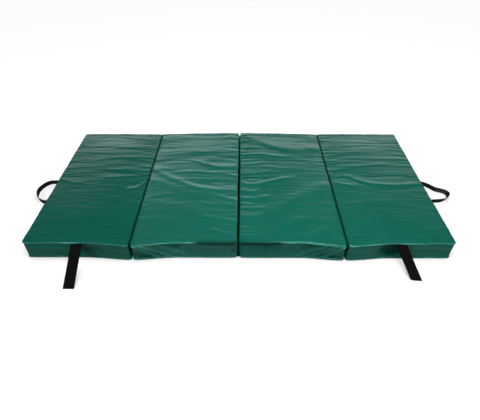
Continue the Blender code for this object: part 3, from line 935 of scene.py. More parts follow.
def painted_edge_light(number, along, distance):
    """The painted highlight along the front top edge: a bell curve of the distance from it,
    patchy. Beside the middle gap the edge is a soft, dull roll with painted shade instead:
    there the bell is negative and wider."""
    patchy = 0.72 + 0.45 * line_noise(along, 0.070, 350 + number)
    highlight = EDGE_HIGHLIGHTS[number] * patchy * np.exp(-(distance / EDGE_HIGHLIGHT_WIDTH) ** 2)
    if number in SHADED_EDGE:
        start, end = SHADED_EDGE[number]
        shaded = ramp((along - start) / (end - start))
        highlight = highlight * (1 - shaded) - EDGE_SHADE * shaded * np.exp(-(distance / EDGE_SHADE_WIDTH) ** 2)
    return highlight


def wall_rings(number, rim, wall, along, base_edge, lengths, detail):
    """The rings of wall points between the top sheet's rim and the base, and the painted
    light and shade of each of their points, in the same metres as the folds of the top."""
    way = np.roll(rim, -1, axis=0) - np.roll(rim, 1, axis=0)
    out = unit(np.stack([way[:, 1], -way[:, 0], np.zeros(len(rim))], axis=1))
    full = rim[:, 2].mean() - base_edge
    hinged = np.isin(wall, sides_of(number, HINGED_WALLS))
    fullness = np.where(hinged, 0.0, 0.75 + 0.75 * line_noise(along, 0.085, 300 + number))
    facing = np.isin(wall, sides_of(number, FACING_WALLS))
    near = np.array(SEAM_RINGS)
    middle = np.linspace(near[-1], full - near[-1], MIDDLE_RINGS + 1)[1:-1]
    rings, wall_painted_light = [], []
    for down in np.concatenate([near, middle, (full - near)[::-1]]):
        t = down / full
        height = rim[:, 2] * (1 - t) + base_edge * t
        drawn = WALL_DRAW * (1 - (1 - 4 * t * (1 - t)) ** 3)
        swell = np.zeros(len(rim))
        for side in range(4):
            here = wall == side
            swell[here] = wall_folds(number, side, along[here], height[here], lengths[side])
        for side, low, high in sewn_places(number):
            pressed = flat_patch(low, high, along, height, SEWN_MARGIN) * (wall == side)
            swell = swell * (1 - pressed) - SEWN_PRESS * pressed
        limit = np.where(wall == 0, STAND_OUT[number], OTHER_STAND_OUT)
        offset = swell - drawn
        offset = np.where(offset > 0, limit * np.tanh(offset / limit), offset)
        to_back = ramp((np.where(wall == 3, lengths[3] - along, along) / lengths[3] - 0.45) / 0.40)
        bulge = FACING_BULGE[0] + (FACING_BULGE[1] - FACING_BULGE[0]) * to_back
        bulge = bulge * ramp(t / 0.18) * ramp((1 - t) / 0.30)
        offset = np.where(facing, bulge + 0.2 * np.minimum(swell, 0), offset)
        offset += seam_profile(down, fullness) + BASE_SEAM_SHARE * seam_profile(full - down, 1.0)
        pressed = under_strap(number, along) * (wall == 0)
        offset = offset * (1 - pressed) + np.minimum(offset, 0.0) * pressed
        ring = rim + out * (detail * offset)[:, None]
        ring[:, 2] = height
        rings.append(ring)
        # Front walls only: fold crests painted lighter as a highlight, dents painted darker as shade,
        # plus the front edge's painted light
        painted_light = np.clip(WALL_PAINTED_LIGHT * swell, -WALL_PAINTED_LIGHT_LIMIT, WALL_PAINTED_LIGHT_LIMIT)
        wall_painted_light.append(np.where(wall == 0, painted_light + painted_edge_light(number, along, down), 0.0))
    return rings, wall_painted_light


def wall_map(points, numbers, perimeter):
    """The map of the walls: distance round the panel and height, for each face corner."""
    after = np.append(perimeter[1:], perimeter[-1] + (perimeter[1] - perimeter[0]))
    bands = []
    for upper, lower in zip(numbers, numbers[1:]):
        low_z, high_z = points[lower, 2], points[upper, 2]
        corners = ((perimeter, low_z), (after, low_z), (after, high_z), (perimeter, high_z))
        corners = [np.stack(corner, axis=1) for corner in corners]
        bands.append(np.stack(corners, axis=1).reshape(-1, 2))
    return bands


def cover_mesh(name, number, inset, base_z, top_z, step, detail):
    """A closed block with a crowned top, drawn-in walls and a flat base. Detail is 1 for
    the fabric cover with all its folds, and 0 for the plain foam inside."""
    low, high = panel_corners(number, inset)
    front_roll, right_roll, back_roll, left_roll = edge_rolls(number)
    flat_x, flat_y = np.meshgrid(
        grid_lines(low[0], high[0], step, left_roll, right_roll),
        grid_lines(low[1], high[1], step, front_roll, back_roll),
    )
    x, y, z, top_painted_light, distance = top_grid(number, low, high, flat_x, flat_y, top_z, detail)
    rows, columns = x.shape
    top = np.stack([x, y, z], axis=-1).reshape(-1, 3)
    loop = rim_loop(rows, columns)
    rim = top[loop]
    wall = wall_names(loop, rows, columns)
    from_low, from_high = rim[:, :2] - low, high - rim[:, :2]
    along = np.choose(wall, [*from_low.T, *from_high.T])
    lengths = (high[0] - low[0], high[1] - low[1]) * 2
    rings, wall_painted_light = wall_rings(number, rim, wall, along, base_z + BASE_ROLL, lengths, detail)
    base_xy = round_corners(flat_x, flat_y, low, high)
    base = np.stack([*base_xy, base_z + rolled(distance, BASE_ROLL)], axis=-1).reshape(-1, 3)

    points = np.concatenate([top] + rings + [base])
    base_start = len(top) + len(loop) * len(rings)
    numbers = [loop]
    numbers += [len(top) + k * len(loop) + np.arange(len(loop)) for k in range(len(rings))]
    numbers += [base_start + loop]
    wall_quads = [loop_quads(lower, upper) for upper, lower in zip(numbers, numbers[1:])]
    top_quads = grid_quads(rows, columns)
    base_quads = grid_quads(rows, columns, base_start)[:, ::-1]
    quads = np.concatenate([top_quads] + wall_quads + [base_quads])
    top_map = np.stack([x.ravel(), y.ravel()], axis=1)
    steps = np.linalg.norm(np.diff(rim[:, :2], axis=0), axis=1)
    perimeter = np.concatenate([[0], np.cumsum(steps)])
    corner_map = np.concatenate(
        [top_map[top_quads.ravel()]] + wall_map(points, numbers, perimeter)
        + [top_map[(base_quads - base_start).ravel()]]
    )
    piece = add_piece(name, points, quads, corner_map)
    # Painted light and shade, one number a point, for the cover's material to read
    painted_light = np.concatenate([top_painted_light.ravel()] + wall_painted_light + [np.zeros(len(base))])
    add_values(piece, "painted_light_and_shade", painted_light / MM)
    return piece


covers = {}
for number in PANELS:
    cover = cover_mesh(f"cover_{number}", number, 0.0, COVER_BASE, EDGE_HEIGHT, GRID_STEP, 1.0)
    covers[number] = cover
    top = max(v[2] for v in cover.bound_box)
    print(cover.name, "faces:", len(cover.data.polygons), "highest point, mm:", round(top / MM, 1))

# %% [markdown]
# ## The foam
# Inside each cover is a block of soft foam. It can't be seen, but a mat that is taken
# apart has it, so it gets the same function with a coarser grid and no folds.

# %% Foam blocks
FOAM_INSET = 0.018
FOAM_DROP = 0.0095
FOAM_STEP = 0.016

foams = {}
for number in PANELS:
    foams[number] = cover_mesh(
        f"foam_block_{number}", number, FOAM_INSET, 0.0025, EDGE_HEIGHT - FOAM_DROP, FOAM_STEP, 0.0
    )

# %% [markdown]
# ## The base sheets
# Each base is a sheet of its own, in a tougher fabric with a pressed grip pattern. It is
# sewn in along the bottom edge, so it follows the cover's round corners.

# %% Base sheets
BASE_INSET = 0.0012
BASE_STEP = 0.020


def add_base_sheet(number):
    """A flat sheet under one cover, from the same round-cornered grid."""
    low, high = panel_corners(number, BASE_INSET)
    lines = [grid_lines(a, b, BASE_STEP, TOP_ROLL, TOP_ROLL) for a, b in zip(low, high)]
    x, y = round_corners(*np.meshgrid(*lines), low, high)
    grid = np.stack([x, y, np.full_like(x, COVER_THICKNESS / 2)], axis=-1)
    return thick_sheet(f"base_sheet_{number}", grid, 0.9 * COVER_THICKNESS)


base_sheets = {number: add_base_sheet(number) for number in PANELS}


def print_cut_size(sheet):
    """The size that a flat sheet is cut to."""
    sizes = [round(sheet[key] / MM) for key in ("flat_width", "flat_length")]
    print(sheet.name, "cut size, mm:", *sizes)


for sheet in base_sheets.values():
    print_cut_size(sheet)

# %% [markdown]
# ## The hinges
# A hinge is one strip of the cover fabric. Its two wings are sewn to facing walls, and
# the web between them dips into the gap. The outer two hinges are at the top and the
# middle one is at the base, so that the mat folds like an accordion. The strip is a
# profile across the gap, carried along the seam and rippled a little.

# %% Hinge strips
HINGE_CLEARANCE = 0.0006
HINGE_DIP = 0.0030
HINGE_STEPS = 200


def hinge_profile(left, right, wing_z, web_z, dip):
    """Points across a hinge: up one wing, over a rounded corner, a dip, and down again."""
    x0, x1 = left + HINGE_CLEARANCE, right - HINGE_CLEARANCE
    middle = (x0 + x1) / 2
    side = math.copysign(1.0, web_z - wing_z)
    turn = min(0.0012, (x1 - x0) / 4)
    return [
        (x0, wing_z), (x0, (wing_z + web_z) / 2), (x0, web_z - side * turn),
        (x0 + turn * 0.6, web_z), (middle, web_z - dip), (x1 - turn * 0.6, web_z),
        (x1, web_z - side * turn), (x1, (wing_z + web_z) / 2), (x1, wing_z),
    ]


def add_hinge(seam, at_base):
    """The strip between panel seam and the next one, along Y."""
    low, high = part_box(f"hinge_{seam}_leaf_{seam}")
    left, right = EDGES[seam][1], EDGES[seam + 1][0]
    if at_base:
        wing_z, web_z, dip = high.z, low.z + COVER_THICKNESS / 2, 0.0
    else:
        wing_z, web_z, dip = low.z, EDGE_HEIGHT - HINGED_ROLL - GROOVE_WIDTH, HINGE_DIP
    outline = smooth_path(hinge_profile(left, right, wing_z, web_z, dip), 4)
    y = np.linspace(low.y, high.y, HINGE_STEPS)
    grid = np.zeros((len(y), len(outline), 3))
    grid[..., 0] = outline[None, :, 0]
    grid[..., 1] = y[:, None]
    grid[..., 2] = outline[None, :, 1]
    if not at_base:
        web = crest((outline[:, 0] - (left + right) / 2) / 0.0012)
        grid[..., 2] += 0.0010 * web[None, :] * line_noise(y, 0.022, 900 + seam)[:, None]
    return thick_sheet(f"hinge_strip_{seam}", grid, COVER_THICKNESS)


hinges = {seam: add_hinge(seam, seam == 2) for seam in (1, 2, 3)}
for hinge in hinges.values():
    print_cut_size(hinge)

# %% [markdown]
# ## The handles
# Each handle is one length of 25 mm webbing, standing on edge. Its ends are sewn flat
# to the end wall, and the rest stands out as a loop: round on the left, drawn to a
# point on the right, as each one happened to lie. It leans over more in some places than
# in others. Webbing is thinner at its two selvedges, which a thickness that varies across
# the strip gives.

# %% Webbing handles
ROUND_LOOP = [
    (0.20, -1.05), (0.43, -1.10), (0.60, -0.97), (0.75, -0.74), (0.86, -0.38), (0.905, 0.02),
    (0.85, 0.38), (0.75, 0.66), (0.61, 0.81), (0.44, 0.83), (0.22, 0.89),
]
POINTED_LOOP = [
    (0.18, -0.98), (0.37, -0.94), (0.55, -0.90), (0.73, -0.78), (0.86, -0.51), (0.90, -0.27),
    (0.85, -0.05), (0.73, 0.08), (0.61, 0.19), (0.50, 0.44), (0.38, 0.68), (0.20, 0.86),
]
WEBBING_THICKNESS = 0.0020
WEBBING_COLUMNS = 13
LOOP_STEPS = 8
LEAN_PLACES = (0.0, 0.30, 0.48, 0.68, 1.0)


def strip_along(name, path, up, width, thickness, lean):
    """A woven strip along a path. Its width lies along up, leaned out by an angle that
    may change along the way, and its thickness drops to a third at the selvedges."""
    share = np.linspace(-0.5, 0.5, WEBBING_COLUMNS)
    along = unit(np.gradient(path, axis=0))
    aside = unit(np.cross(along, up))
    across = unit(np.cos(lean)[:, None] * up + np.sin(lean)[:, None] * aside)
    middle = path[:, None, :] + across[:, None, :] * (share * width)[None, :, None]
    body = thickness * (1 - 0.65 * np.abs(2 * share) ** 8)
    return thick_sheet(name, middle, body[None, :])


def handle_path(side, shape, outward):
    """The line of the webbing: along the wall, out round the loop, and along the wall."""
    low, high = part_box(f"handle_{side}_loop")
    front_low, front_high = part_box(f"handle_{side}_front_tab")
    back_low, back_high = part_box(f"handle_{side}_back_tab")
    wall_x = (front_low.x + front_high.x) / 2
    root_x, tip_x = (high.x, low.x) if outward < 0 else (low.x, high.x)
    middle_y = (front_high.y + back_low.y) / 2
    half_spread = (back_low.y - front_high.y) / 2
    reach = abs(tip_x - root_x) - WEBBING_THICKNESS
    front = (front_low.y, (front_low.y + front_high.y) / 2, front_high.y - 0.004)
    back = (back_low.y + 0.004, (back_low.y + back_high.y) / 2, back_high.y)
    loop = [(root_x + outward * reach * out, middle_y + half_spread * along) for out, along in shape]
    points = [(wall_x, y) for y in front] + loop + [(wall_x, y) for y in back]
    path = smooth_path(points, LOOP_STEPS)
    height = (front_low.z + front_high.z) / 2
    return np.column_stack([path, np.full(len(path), height)]), root_x


def add_handle(side, shape, outward, leans):
    """One handle, flat against the wall. Leans are its angles at both roots, halfway
    along both limbs and at its tip, in order along the loop."""
    path, root_x = handle_path(side, shape, outward)
    low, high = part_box(f"handle_{side}_front_tab")
    out = np.clip(np.abs(path[:, 0] - root_x) / 0.1, 0, 1)
    lean = np.radians(np.interp(np.linspace(0, 1, len(path)), LEAN_PLACES, leans)) * ramp(out)
    up = np.array([0.0, 0.0, 1.0])
    return strip_along(f"webbing_handle_{side}", path, up, high.z - low.z, WEBBING_THICKNESS, lean)


handles = {
    "left": add_handle("left", ROUND_LOOP, -1, (9, 4, -16, -6, 6)),
    "right": add_handle("right", POINTED_LOOP, 1, (0, 2, 45, 12, 0)),
}
for side, handle in handles.items():
    print(handle.name, "length, mm:", round(handle["flat_length"] / MM))

# %% [markdown]
# ## The closing straps
# Two straps of 50 mm hook-and-loop tape hang from the front top seam: loop tape on the
# left, hook tape on the right. Folded up, they meet across the stack, the hook tape over
# the loop tape. Such tape is stiff, so each runs nearly straight down to the floor, with
# a soft bend where it leaves the seam. The hook strap sags a little, and the loop strap
# bows up a little, which keeps the two apart where they meet.

# %% Straps
STRAP_COLUMNS = 15
STRAP_SEAM_Z = EDGE_HEIGHT - TOP_ROLL - GROOVE_WIDTH


def strap_grid(node, sewn_node, shift, sag):
    """A strap's middle surface: from inside the seam, out, and down to its tip. It sags
    by a sine that fades to the tip, or bows up if the sag is negative. Its rows stay level."""
    low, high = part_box(node)
    sewn_low, sewn_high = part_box(sewn_node)
    width = sewn_high.x - sewn_low.x
    root_x = (sewn_low.x + sewn_high.x) / 2 + shift
    thickness = sewn_high.z - sewn_low.z
    slant = (high.x - low.x) - width
    tip = (root_x + slant, low.y + thickness / 2, low.z + thickness / 2)
    points = [
        (root_x, FRONT + 0.012, STRAP_SEAM_Z + 0.001),
        (root_x, FRONT + 0.003, STRAP_SEAM_Z),
        (root_x, sewn_low.y - 0.002, STRAP_SEAM_Z - 0.0015),
    ]
    start = np.array(points[-1])
    for share in (0.10, 0.30, 0.52, 0.74, 0.90, 1.0):
        point = start + (np.array(tip) - start) * share
        point[2] -= sag * math.sin(math.pi * share) * (1 - share)
        points.append(tuple(point))
    path = smooth_path(points, 7)
    share = np.linspace(-0.5, 0.5, STRAP_COLUMNS)
    grid = path[:, None, :] + np.array([width, 0, 0])[None, None, :] * share[None, :, None]
    return grid, share, thickness


def add_strap(name, node, sewn_node, shift, sag, tip_lean, corner_cut):
    """One strap. The tip's edge leans and one corner is rounded off, as photographed."""
    grid, share, thickness = strap_grid(node, sewn_node, shift, sag)
    length = np.linalg.norm(np.diff(grid[:, 0], axis=0), axis=1).sum()
    along = np.linspace(0, 1, len(grid))[:, None]
    near_tip = ramp((along - 0.80) / 0.20)
    rounded = corner_cut * np.clip(-2 * share - 0.4, 0, 1) ** 2
    trim = near_tip * (tip_lean * share + rounded)[None, :]
    way = unit(grid[-1] - grid[-8])
    grid = grid - trim[..., None] * way[None, :, :]
    curl = 0.0012 * soft_noise(grid[..., 0], grid[..., 1], 0.030, 0.050, len(node))
    grid[..., 2] -= np.abs(curl) * ramp(along / 0.2) * (1 - ramp((along - 0.70) / 0.20))
    body = thickness * (1 - 0.45 * np.abs(2 * share) ** 10)
    strap = thick_sheet(name, grid, body[None, :])
    print(name, "length, mm:", round(length / MM))
    return strap


loop_strap = add_strap(
    "loop_tape_strap", "loop_strap", "loop_strap_sewn_end",
    shift=0.0, sag=-0.0020, tip_lean=0.0, corner_cut=0.0,
)
hook_strap = add_strap(
    "hook_tape_strap", "hook_strap", "hook_strap_sewn_end",
    shift=0.006, sag=0.0030, tip_lean=-0.004, corner_cut=0.010,
)

# %% [markdown]
# ## Repeated small things
# Stitches and zip teeth are hundreds of copies of one small rounded bar. The copies are
# made in one step: each has a place and three directions, and the bar's points are
# multiplied into them.

# %% Stitches and teeth


def small_bar(sides, rings):
    """A rounded bar of length 2 along X and radius 1, as points and faces."""
    along = np.cos(np.linspace(math.pi * 0.94, math.pi * 0.06, rings))
    radius = np.sqrt(1 - np.abs(along) ** 3)
    angle = np.arange(sides) / sides * 2 * math.pi
    points = np.stack([
        np.repeat(along, sides),
        (radius[:, None] * np.cos(angle)).ravel(),
        (radius[:, None] * np.sin(angle)).ravel(),
    ], axis=1)
    ring = np.arange(sides)
    quads = [loop_quads(k * sides + ring, (k + 1) * sides + ring)[:, ::-1] for k in range(rings - 1)]
    caps = []
    for k in range(1, sides - 2, 2):
        caps.append((0, k, k + 1, k + 2))
        last = (rings - 1) * sides
        caps.append((last, last + k + 2, last + k + 1, last + k))
    return points, np.concatenate(quads + [np.array(caps)])


def scattered(name, bar, places, lengthwise, sidewise, outward):
    """Copies of a bar at many places. The three directions carry the half length, half
    width and half height, each as one vector for all copies or as one for each."""
    points, quads = bar
    copies = places[:, None, :]
    for k, way in enumerate((lengthwise, sidewise, outward)):
        way = np.broadcast_to(way, places.shape)[:, None, :]
        copies = copies + points[None, :, k:k + 1] * way
    shift = (np.arange(len(places)) * len(points))[:, None, None]
    all_quads = (quads[None, :, :] + shift).reshape(-1, 4)
    all_points = copies.reshape(-1, 3)
    piece = add_piece(name, all_points, all_quads, all_points[all_quads.ravel()][:, :2])
    mesh = bmesh.new()
    mesh.from_mesh(piece.data)
    bmesh.ops.recalc_face_normals(mesh, faces=mesh.faces)
    mesh.to_mesh(piece.data)
    mesh.free()
    return piece


STITCH_PITCH = 0.0034
STITCH_HALF_LENGTH = 0.0013
STITCH_RADIUS = 0.00038
STITCH_INSET = 0.004


def seam_stitches(name, starts, ends, outward):
    """Rows of stitches between pairs of points. Outward is the side they show on."""
    places, ways = [], []
    for start, end in zip(np.array(starts, float), np.array(ends, float)):
        length = np.linalg.norm(end - start)
        count = max(2, round(length / STITCH_PITCH))
        share = ((np.arange(count) + 0.5) / count)[:, None]
        places.append(start + (end - start) * share)
        ways.append(np.repeat([(end - start) / length], count, axis=0))
    places, ways = np.concatenate(places), np.concatenate(ways)
    out = np.broadcast_to(np.array(outward, float), ways.shape)
    side = unit(np.cross(out, ways))
    return scattered(
        name, small_bar(4, 4), places, ways * STITCH_HALF_LENGTH, side * STITCH_RADIUS,
        out * STITCH_RADIUS * 0.8,
    )


def box_and_cross(low_a, high_a, low_b, high_b, margin):
    """A tailor's box stitch: four sides and two diagonals, as pairs of flat points."""
    a0, a1, b0, b1 = low_a + margin, high_a - margin, low_b + margin, high_b - margin
    corners = [(a0, b0), (a1, b0), (a1, b1), (a0, b1)]
    pairs = list(zip(corners, corners[1:] + corners[:1]))
    return pairs + [(corners[0], corners[2]), (corners[1], corners[3])]


handle_stitches = {}
for side, outward in (("left", -1), ("right", 1)):
    starts, ends = [], []
    for end in ("front", "back"):
        low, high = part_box(f"handle_{side}_{end}_tab")
        face_x = (low.x if outward < 0 else high.x) + outward * 0.0001
        box = box_and_cross(low.y + 0.002, high.y - 0.002, low.z, high.z, 0.0030)
        for start_point, end_point in box:
            starts.append((face_x, *start_point))
            ends.append((face_x, *end_point))
    handle_stitches[side] = seam_stitches(f"handle_stitches_{side}", starts, ends, (outward, 0, 0))

hinge_stitches = {}
for seam in hinges:
    for panel, wall_side in ((seam, 1), (seam + 1, -1)):
        low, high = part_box(f"hinge_{seam}_leaf_{seam}")
        edge = EDGES[panel][1] if wall_side > 0 else EDGES[panel][0]
        face_x = edge + wall_side * (HINGE_CLEARANCE + COVER_THICKNESS / 2)
        z = high.z - STITCH_INSET if seam == 2 else low.z + STITCH_INSET
        hinge_stitches[seam, panel] = seam_stitches(
            f"hinge_stitches_{seam}_{panel}", [(face_x, low.y + STITCH_INSET, z)],
            [(face_x, high.y - STITCH_INSET, z)], (wall_side, 0, 0),
        )

# %% [markdown]
# ## The zips
# A zip in each back wall lets the foam in. Its tape is sewn flat on the wall, and two
# rows of nylon teeth alternate along its middle. The slider and pull are metal.

# %% Zips
TOOTH_PITCH = 0.0022
TOOTH_HALF_LENGTH = 0.0021
TOOTH_OFFSET = 0.0009
ZIP_TAPE_THICKNESS = 0.0007


def add_zip_tape(number):
    """The woven tape, a flat grid on the back wall."""
    low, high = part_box(f"zip_chain_{number}")
    x = np.linspace(low.x, high.x, 111)
    z = np.linspace(low.z, high.z, 9)
    grid = np.zeros((len(x), len(z), 3))
    grid[..., 0] = x[:, None]
    grid[..., 1] = low.y + ZIP_TAPE_THICKNESS / 2
    grid[..., 2] = z[None, :]
    return thick_sheet(f"zip_tape_{number}", grid, ZIP_TAPE_THICKNESS)


def add_zip_teeth(number):
    """Two rows of small bars across the tape, half a pitch apart."""
    low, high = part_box(f"zip_chain_{number}")
    middle_z = (low.z + high.z) / 2
    y = low.y + ZIP_TAPE_THICKNESS + 0.0004
    x = np.arange(low.x + 0.0045, high.x - 0.0045, TOOTH_PITCH / 2)
    side = np.where(np.arange(len(x)) % 2, 1.0, -1.0)
    places = np.stack([x, np.full(len(x), y), middle_z + side * TOOTH_OFFSET], axis=1)
    return scattered(
        f"zip_teeth_{number}", small_bar(6, 5), places,
        (0, 0, TOOTH_HALF_LENGTH), (0.00062, 0, 0), (0, 0.00068, 0),
    )


def add_zip_stops(number):
    """A metal stop across the teeth at each end."""
    low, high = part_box(f"zip_chain_{number}")
    middle_z = (low.z + high.z) / 2
    places = np.array([[x, high.y - 0.0015, middle_z] for x in (low.x + 0.002, high.x - 0.002)])
    return scattered(
        f"zip_stops_{number}", small_bar(12, 7), places,
        (0, 0, 0.0042), (0.0019, 0, 0), (0, 0.0014, 0),
    )


def softened_copy(node, name, width):
    """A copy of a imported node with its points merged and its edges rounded."""
    source = frame["nodes"][node]
    mesh = bmesh.new()
    mesh.from_mesh(source.data)
    bmesh.ops.remove_doubles(mesh, verts=mesh.verts, dist=1e-6)
    bmesh.ops.dissolve_limit(mesh, angle_limit=math.radians(1), verts=mesh.verts, edges=mesh.edges)
    data = bpy.data.meshes.new(name)
    mesh.to_mesh(data)
    mesh.free()
    piece = new_object(name, data)
    bevel = piece.modifiers.new("rounded_edges", "BEVEL")
    bevel.width = width
    bevel.segments = 2
    bevel.limit_method = "ANGLE"
    data.shade_smooth()
    data.set_sharp_from_angle(angle=math.radians(50))
    return piece


zips = {}
for number in PANELS:
    low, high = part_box(f"zip_chain_{number}")
    rows_z = (low.z + 0.0035, high.z - 0.0035)
    zips[number] = {
        "tape": add_zip_tape(number),
        "teeth": add_zip_teeth(number),
        "stops": add_zip_stops(number),
        "slider": softened_copy(f"zip_slider_{number}", f"slider_{number}", 0.00030),
        "pull": softened_copy(f"zip_pull_{number}", f"pull_tab_{number}", 0.00025),
        "stitches": seam_stitches(
            f"zip_stitches_{number}",
            [(low.x + 0.003, low.y + ZIP_TAPE_THICKNESS, z) for z in rows_z],
            [(high.x - 0.003, low.y + ZIP_TAPE_THICKNESS, z) for z in rows_z],
            (0, 1, 0),
        ),
    }
print("teeth on each zip:", len(zips[1]["teeth"].data.polygons) // 28)

# %% [markdown]
# ## How the mat lies
# The photographed mat isn't laid out quite straight. Its front edge comes forward and
# sinks a little at the two outer hinges, and its top stands higher at the middle gap,
# most of all at the back. Covers, foam, base sheets and hinges are moved alike, by up to
# 16 mm. The handles, straps and zips stay: at the end walls and the back wall nothing
# moves, so that the zips run straight.

# %% The lie of the mat
FORWARD = 0.016
FORWARD_REACH = 0.43
SINK = 0.002
LIFT_FRONT = 0.003
LIFT_BACK = 0.010
HINGE_PLACES = [(EDGES[n][1] + EDGES[n + 1][0]) / 2 for n in (1, 2, 3)]
LIE_PLACES = [EDGES[1][0], *HINGE_PLACES, EDGES[4][1]]


def forward_share(x):
    """How far forward the front edge lies: 1 at the outer hinges, and a smooth ramp down
    to 0 on both sides, so that the folded straps find a straight wall."""
    near = np.interp(x, LIE_PLACES, (0, 1, 0, 1, 0))
    return ramp(1 - (1 - near) / FORWARD_REACH)


def let_lie(piece):
    """Moves a piece's points to where the mat lies, by shares of the way to the front and
    of the height above the floor."""
    places = np.empty(len(piece.data.vertices) * 3, np.float32)
    piece.data.vertices.foreach_get("co", places)
    places = places.reshape(-1, 3).astype(float)
    x, y, z = places.T
    front = np.clip((BACK - 0.02 - y) / (BACK - 0.02 - FRONT), 0, 1)
    level = np.clip(z / EDGE_HEIGHT, 0, 1.1)
    lift = np.interp(x, LIE_PLACES, (0, 0, 1, 0, 0)) * (LIFT_BACK + (LIFT_FRONT - LIFT_BACK) * front)
    places[:, 1] -= FORWARD * forward_share(x) * front
    places[:, 2] += level * (lift - SINK * forward_share(x) * front)
    piece.data.vertices.foreach_set("co", places.astype(np.float32).ravel())
    piece.data.update()


for group in (covers, foams, base_sheets, hinges, hinge_stitches):
    for piece in group.values():
        let_lie(piece)

# %% [markdown]
# ## Finishes
# Materials are small node trees. Two effects are shared, so each is a node group: a
# weave of crossing threads, and cloudy patches with fine grain.

# %% Node helpers


def add_node(tree, kind, values=(), **settings):
    """Adds a node with its settings, and values for its sockets by name or number."""
    node = tree.nodes.new(kind)
    for key, value in settings.items():
        setattr(node, key, value)
    for key, value in dict(values).items():
        node.inputs[key].default_value = value
    return node


def math_node(tree, operation, *inputs):
    """A Math node. Each input is a number or an output socket."""
    node = add_node(tree, "ShaderNodeMath", operation=operation)
    for k, value in enumerate(inputs):
        if isinstance(value, bpy.types.NodeSocket):
            tree.links.new(value, node.inputs[k])
        else:
            node.inputs[k].default_value = value
    return node.outputs[0]


def ranged(tree, value, low, high):
    """A value from 0 to 1 spread between two others."""
    return math_node(tree, "ADD", math_node(tree, "MULTIPLY", value, high - low), low)


def map_range(tree, value, span, low, high, shape="LINEAR"):
    """A value that runs from low to high over a span and stays level outside it."""
    values = {"From Min": span[0], "From Max": span[1], "To Min": low, "To Max": high}
    node = add_node(tree, "ShaderNodeMapRange", values, interpolation_type=shape)
    tree.links.new(value, node.inputs["Value"])
    return node.outputs["Result"]


def new_group(name, inputs, outputs):
    """A shader node group with named number or vector sockets."""
    group = bpy.data.node_groups.new(name, "ShaderNodeTree")
    for label, kind, value in inputs:
        socket = group.interface.new_socket(name=label, in_out="INPUT", socket_type=kind)
        if value is not None:
            socket.default_value = value
    for label in outputs:
        group.interface.new_socket(name=label, in_out="OUTPUT", socket_type="NodeSocketFloat")
    entry = group.nodes.new("NodeGroupInput")
    leave = group.nodes.new("NodeGroupOutput")
    return group, entry, leave


def weave_group():
    """Crossing threads: each direction is a row of half waves, and a checker of cells
    says which one lies on top. Height is the thread on top, from 0 to 1."""
    group, entry, leave = new_group(
        "woven_threads",
        [("Map", "NodeSocketVector", None), ("Warp pitch", "NodeSocketFloat", 0.001),
         ("Weft pitch", "NodeSocketFloat", 0.001)],
        ["Height"],
    )
    split = add_node(group, "ShaderNodeSeparateXYZ")
    group.links.new(entry.outputs["Map"], split.inputs[0])
    threads, cells = [], []
    for axis, pitch in (("X", "Warp pitch"), ("Y", "Weft pitch")):
        count = math_node(group, "DIVIDE", split.outputs[axis], entry.outputs[pitch])
        wave = math_node(group, "SINE", math_node(group, "MULTIPLY", count, math.pi))
        threads.append(math_node(group, "ABSOLUTE", wave))
        cells.append(math_node(group, "FLOOR", count))
    over = math_node(group, "PINGPONG", math_node(group, "ADD", *cells), 1.0)
    under = math_node(group, "SUBTRACT", 1.0, over)
    raised = [
        math_node(group, "MULTIPLY", thread, ranged(group, top, 0.5, 1.0))
        for thread, top in zip(threads, (over, under))
    ]
    group.links.new(math_node(group, "MAXIMUM", *raised), leave.inputs["Height"])
    return group


def patches_group():
    """Cloudy patches from broad noise, and a fine pebble grain from small noise, both
    read from the place on the object in metres."""
    group, entry, leave = new_group(
        "patches_and_grain",
        [("Place", "NodeSocketVector", None), ("Patch scale", "NodeSocketFloat", 6.0),
         ("Grain scale", "NodeSocketFloat", 900.0)],
        ["Patches", "Grain"],
    )
    broad = add_node(group, "ShaderNodeTexNoise", {"Detail": 3.0, "Roughness": 0.55})
    fine = add_node(group, "ShaderNodeTexNoise", {"Detail": 2.0, "Roughness": 0.5})
    for node, scale in ((broad, "Patch scale"), (fine, "Grain scale")):
        group.links.new(entry.outputs["Place"], node.inputs["Vector"])
        group.links.new(entry.outputs[scale], node.inputs["Scale"])
    group.links.new(broad.outputs["Fac"], leave.inputs["Patches"])
    group.links.new(fine.outputs["Fac"], leave.inputs["Grain"])
    return group


WOVEN = weave_group()
PATCHES = patches_group()


def add_patches(tree, patch_scale, grain_scale):
    """Places the shared patches group, read from the place on the object."""
    values = {"Patch scale": patch_scale, "Grain scale": grain_scale}
    node = add_node(tree, "ShaderNodeGroup", values, node_tree=PATCHES)
    place = add_node(tree, "ShaderNodeTexCoord")
    tree.links.new(place.outputs["Object"], node.inputs["Place"])
    return node.outputs["Patches"], node.outputs["Grain"]


def metre_map(tree):
    """The piece's own map in metres."""
    return add_node(tree, "ShaderNodeUVMap", uv_map="metres").outputs["UV"]


def add_weave(tree, warp_pitch, weft_pitch):
    """Places the shared weave group on the metre map, and returns its height."""
    values = {"Warp pitch": warp_pitch, "Weft pitch": weft_pitch}
    node = add_node(tree, "ShaderNodeGroup", values, node_tree=WOVEN)
    tree.links.new(metre_map(tree), node.inputs["Map"])
    return node.outputs["Height"]


def start_material(name, roughness, metallic=0.0, shine=0.5):
    """A material with a plain Principled shader. Shine is the strength of reflections,
    0.5 for ordinary plastics."""
    material = bpy.data.materials.new(name)
    material.use_nodes = True
    tree = material.node_tree
    shader = tree.nodes["Principled BSDF"]
    shader.inputs["Roughness"].default_value = roughness
    shader.inputs["Metallic"].default_value = metallic
    shader.inputs["Specular IOR Level"].default_value = shine
    return material, tree, shader


def link_surface(tree, colour, roughness, normal):
    """Links what every finish here ends with into its shader."""
    shader = tree.nodes["Principled BSDF"]
    sockets = (("Base Color", colour), ("Roughness", roughness), ("Normal", normal))
    for label, socket in sockets:
        tree.links.new(socket, shader.inputs[label])


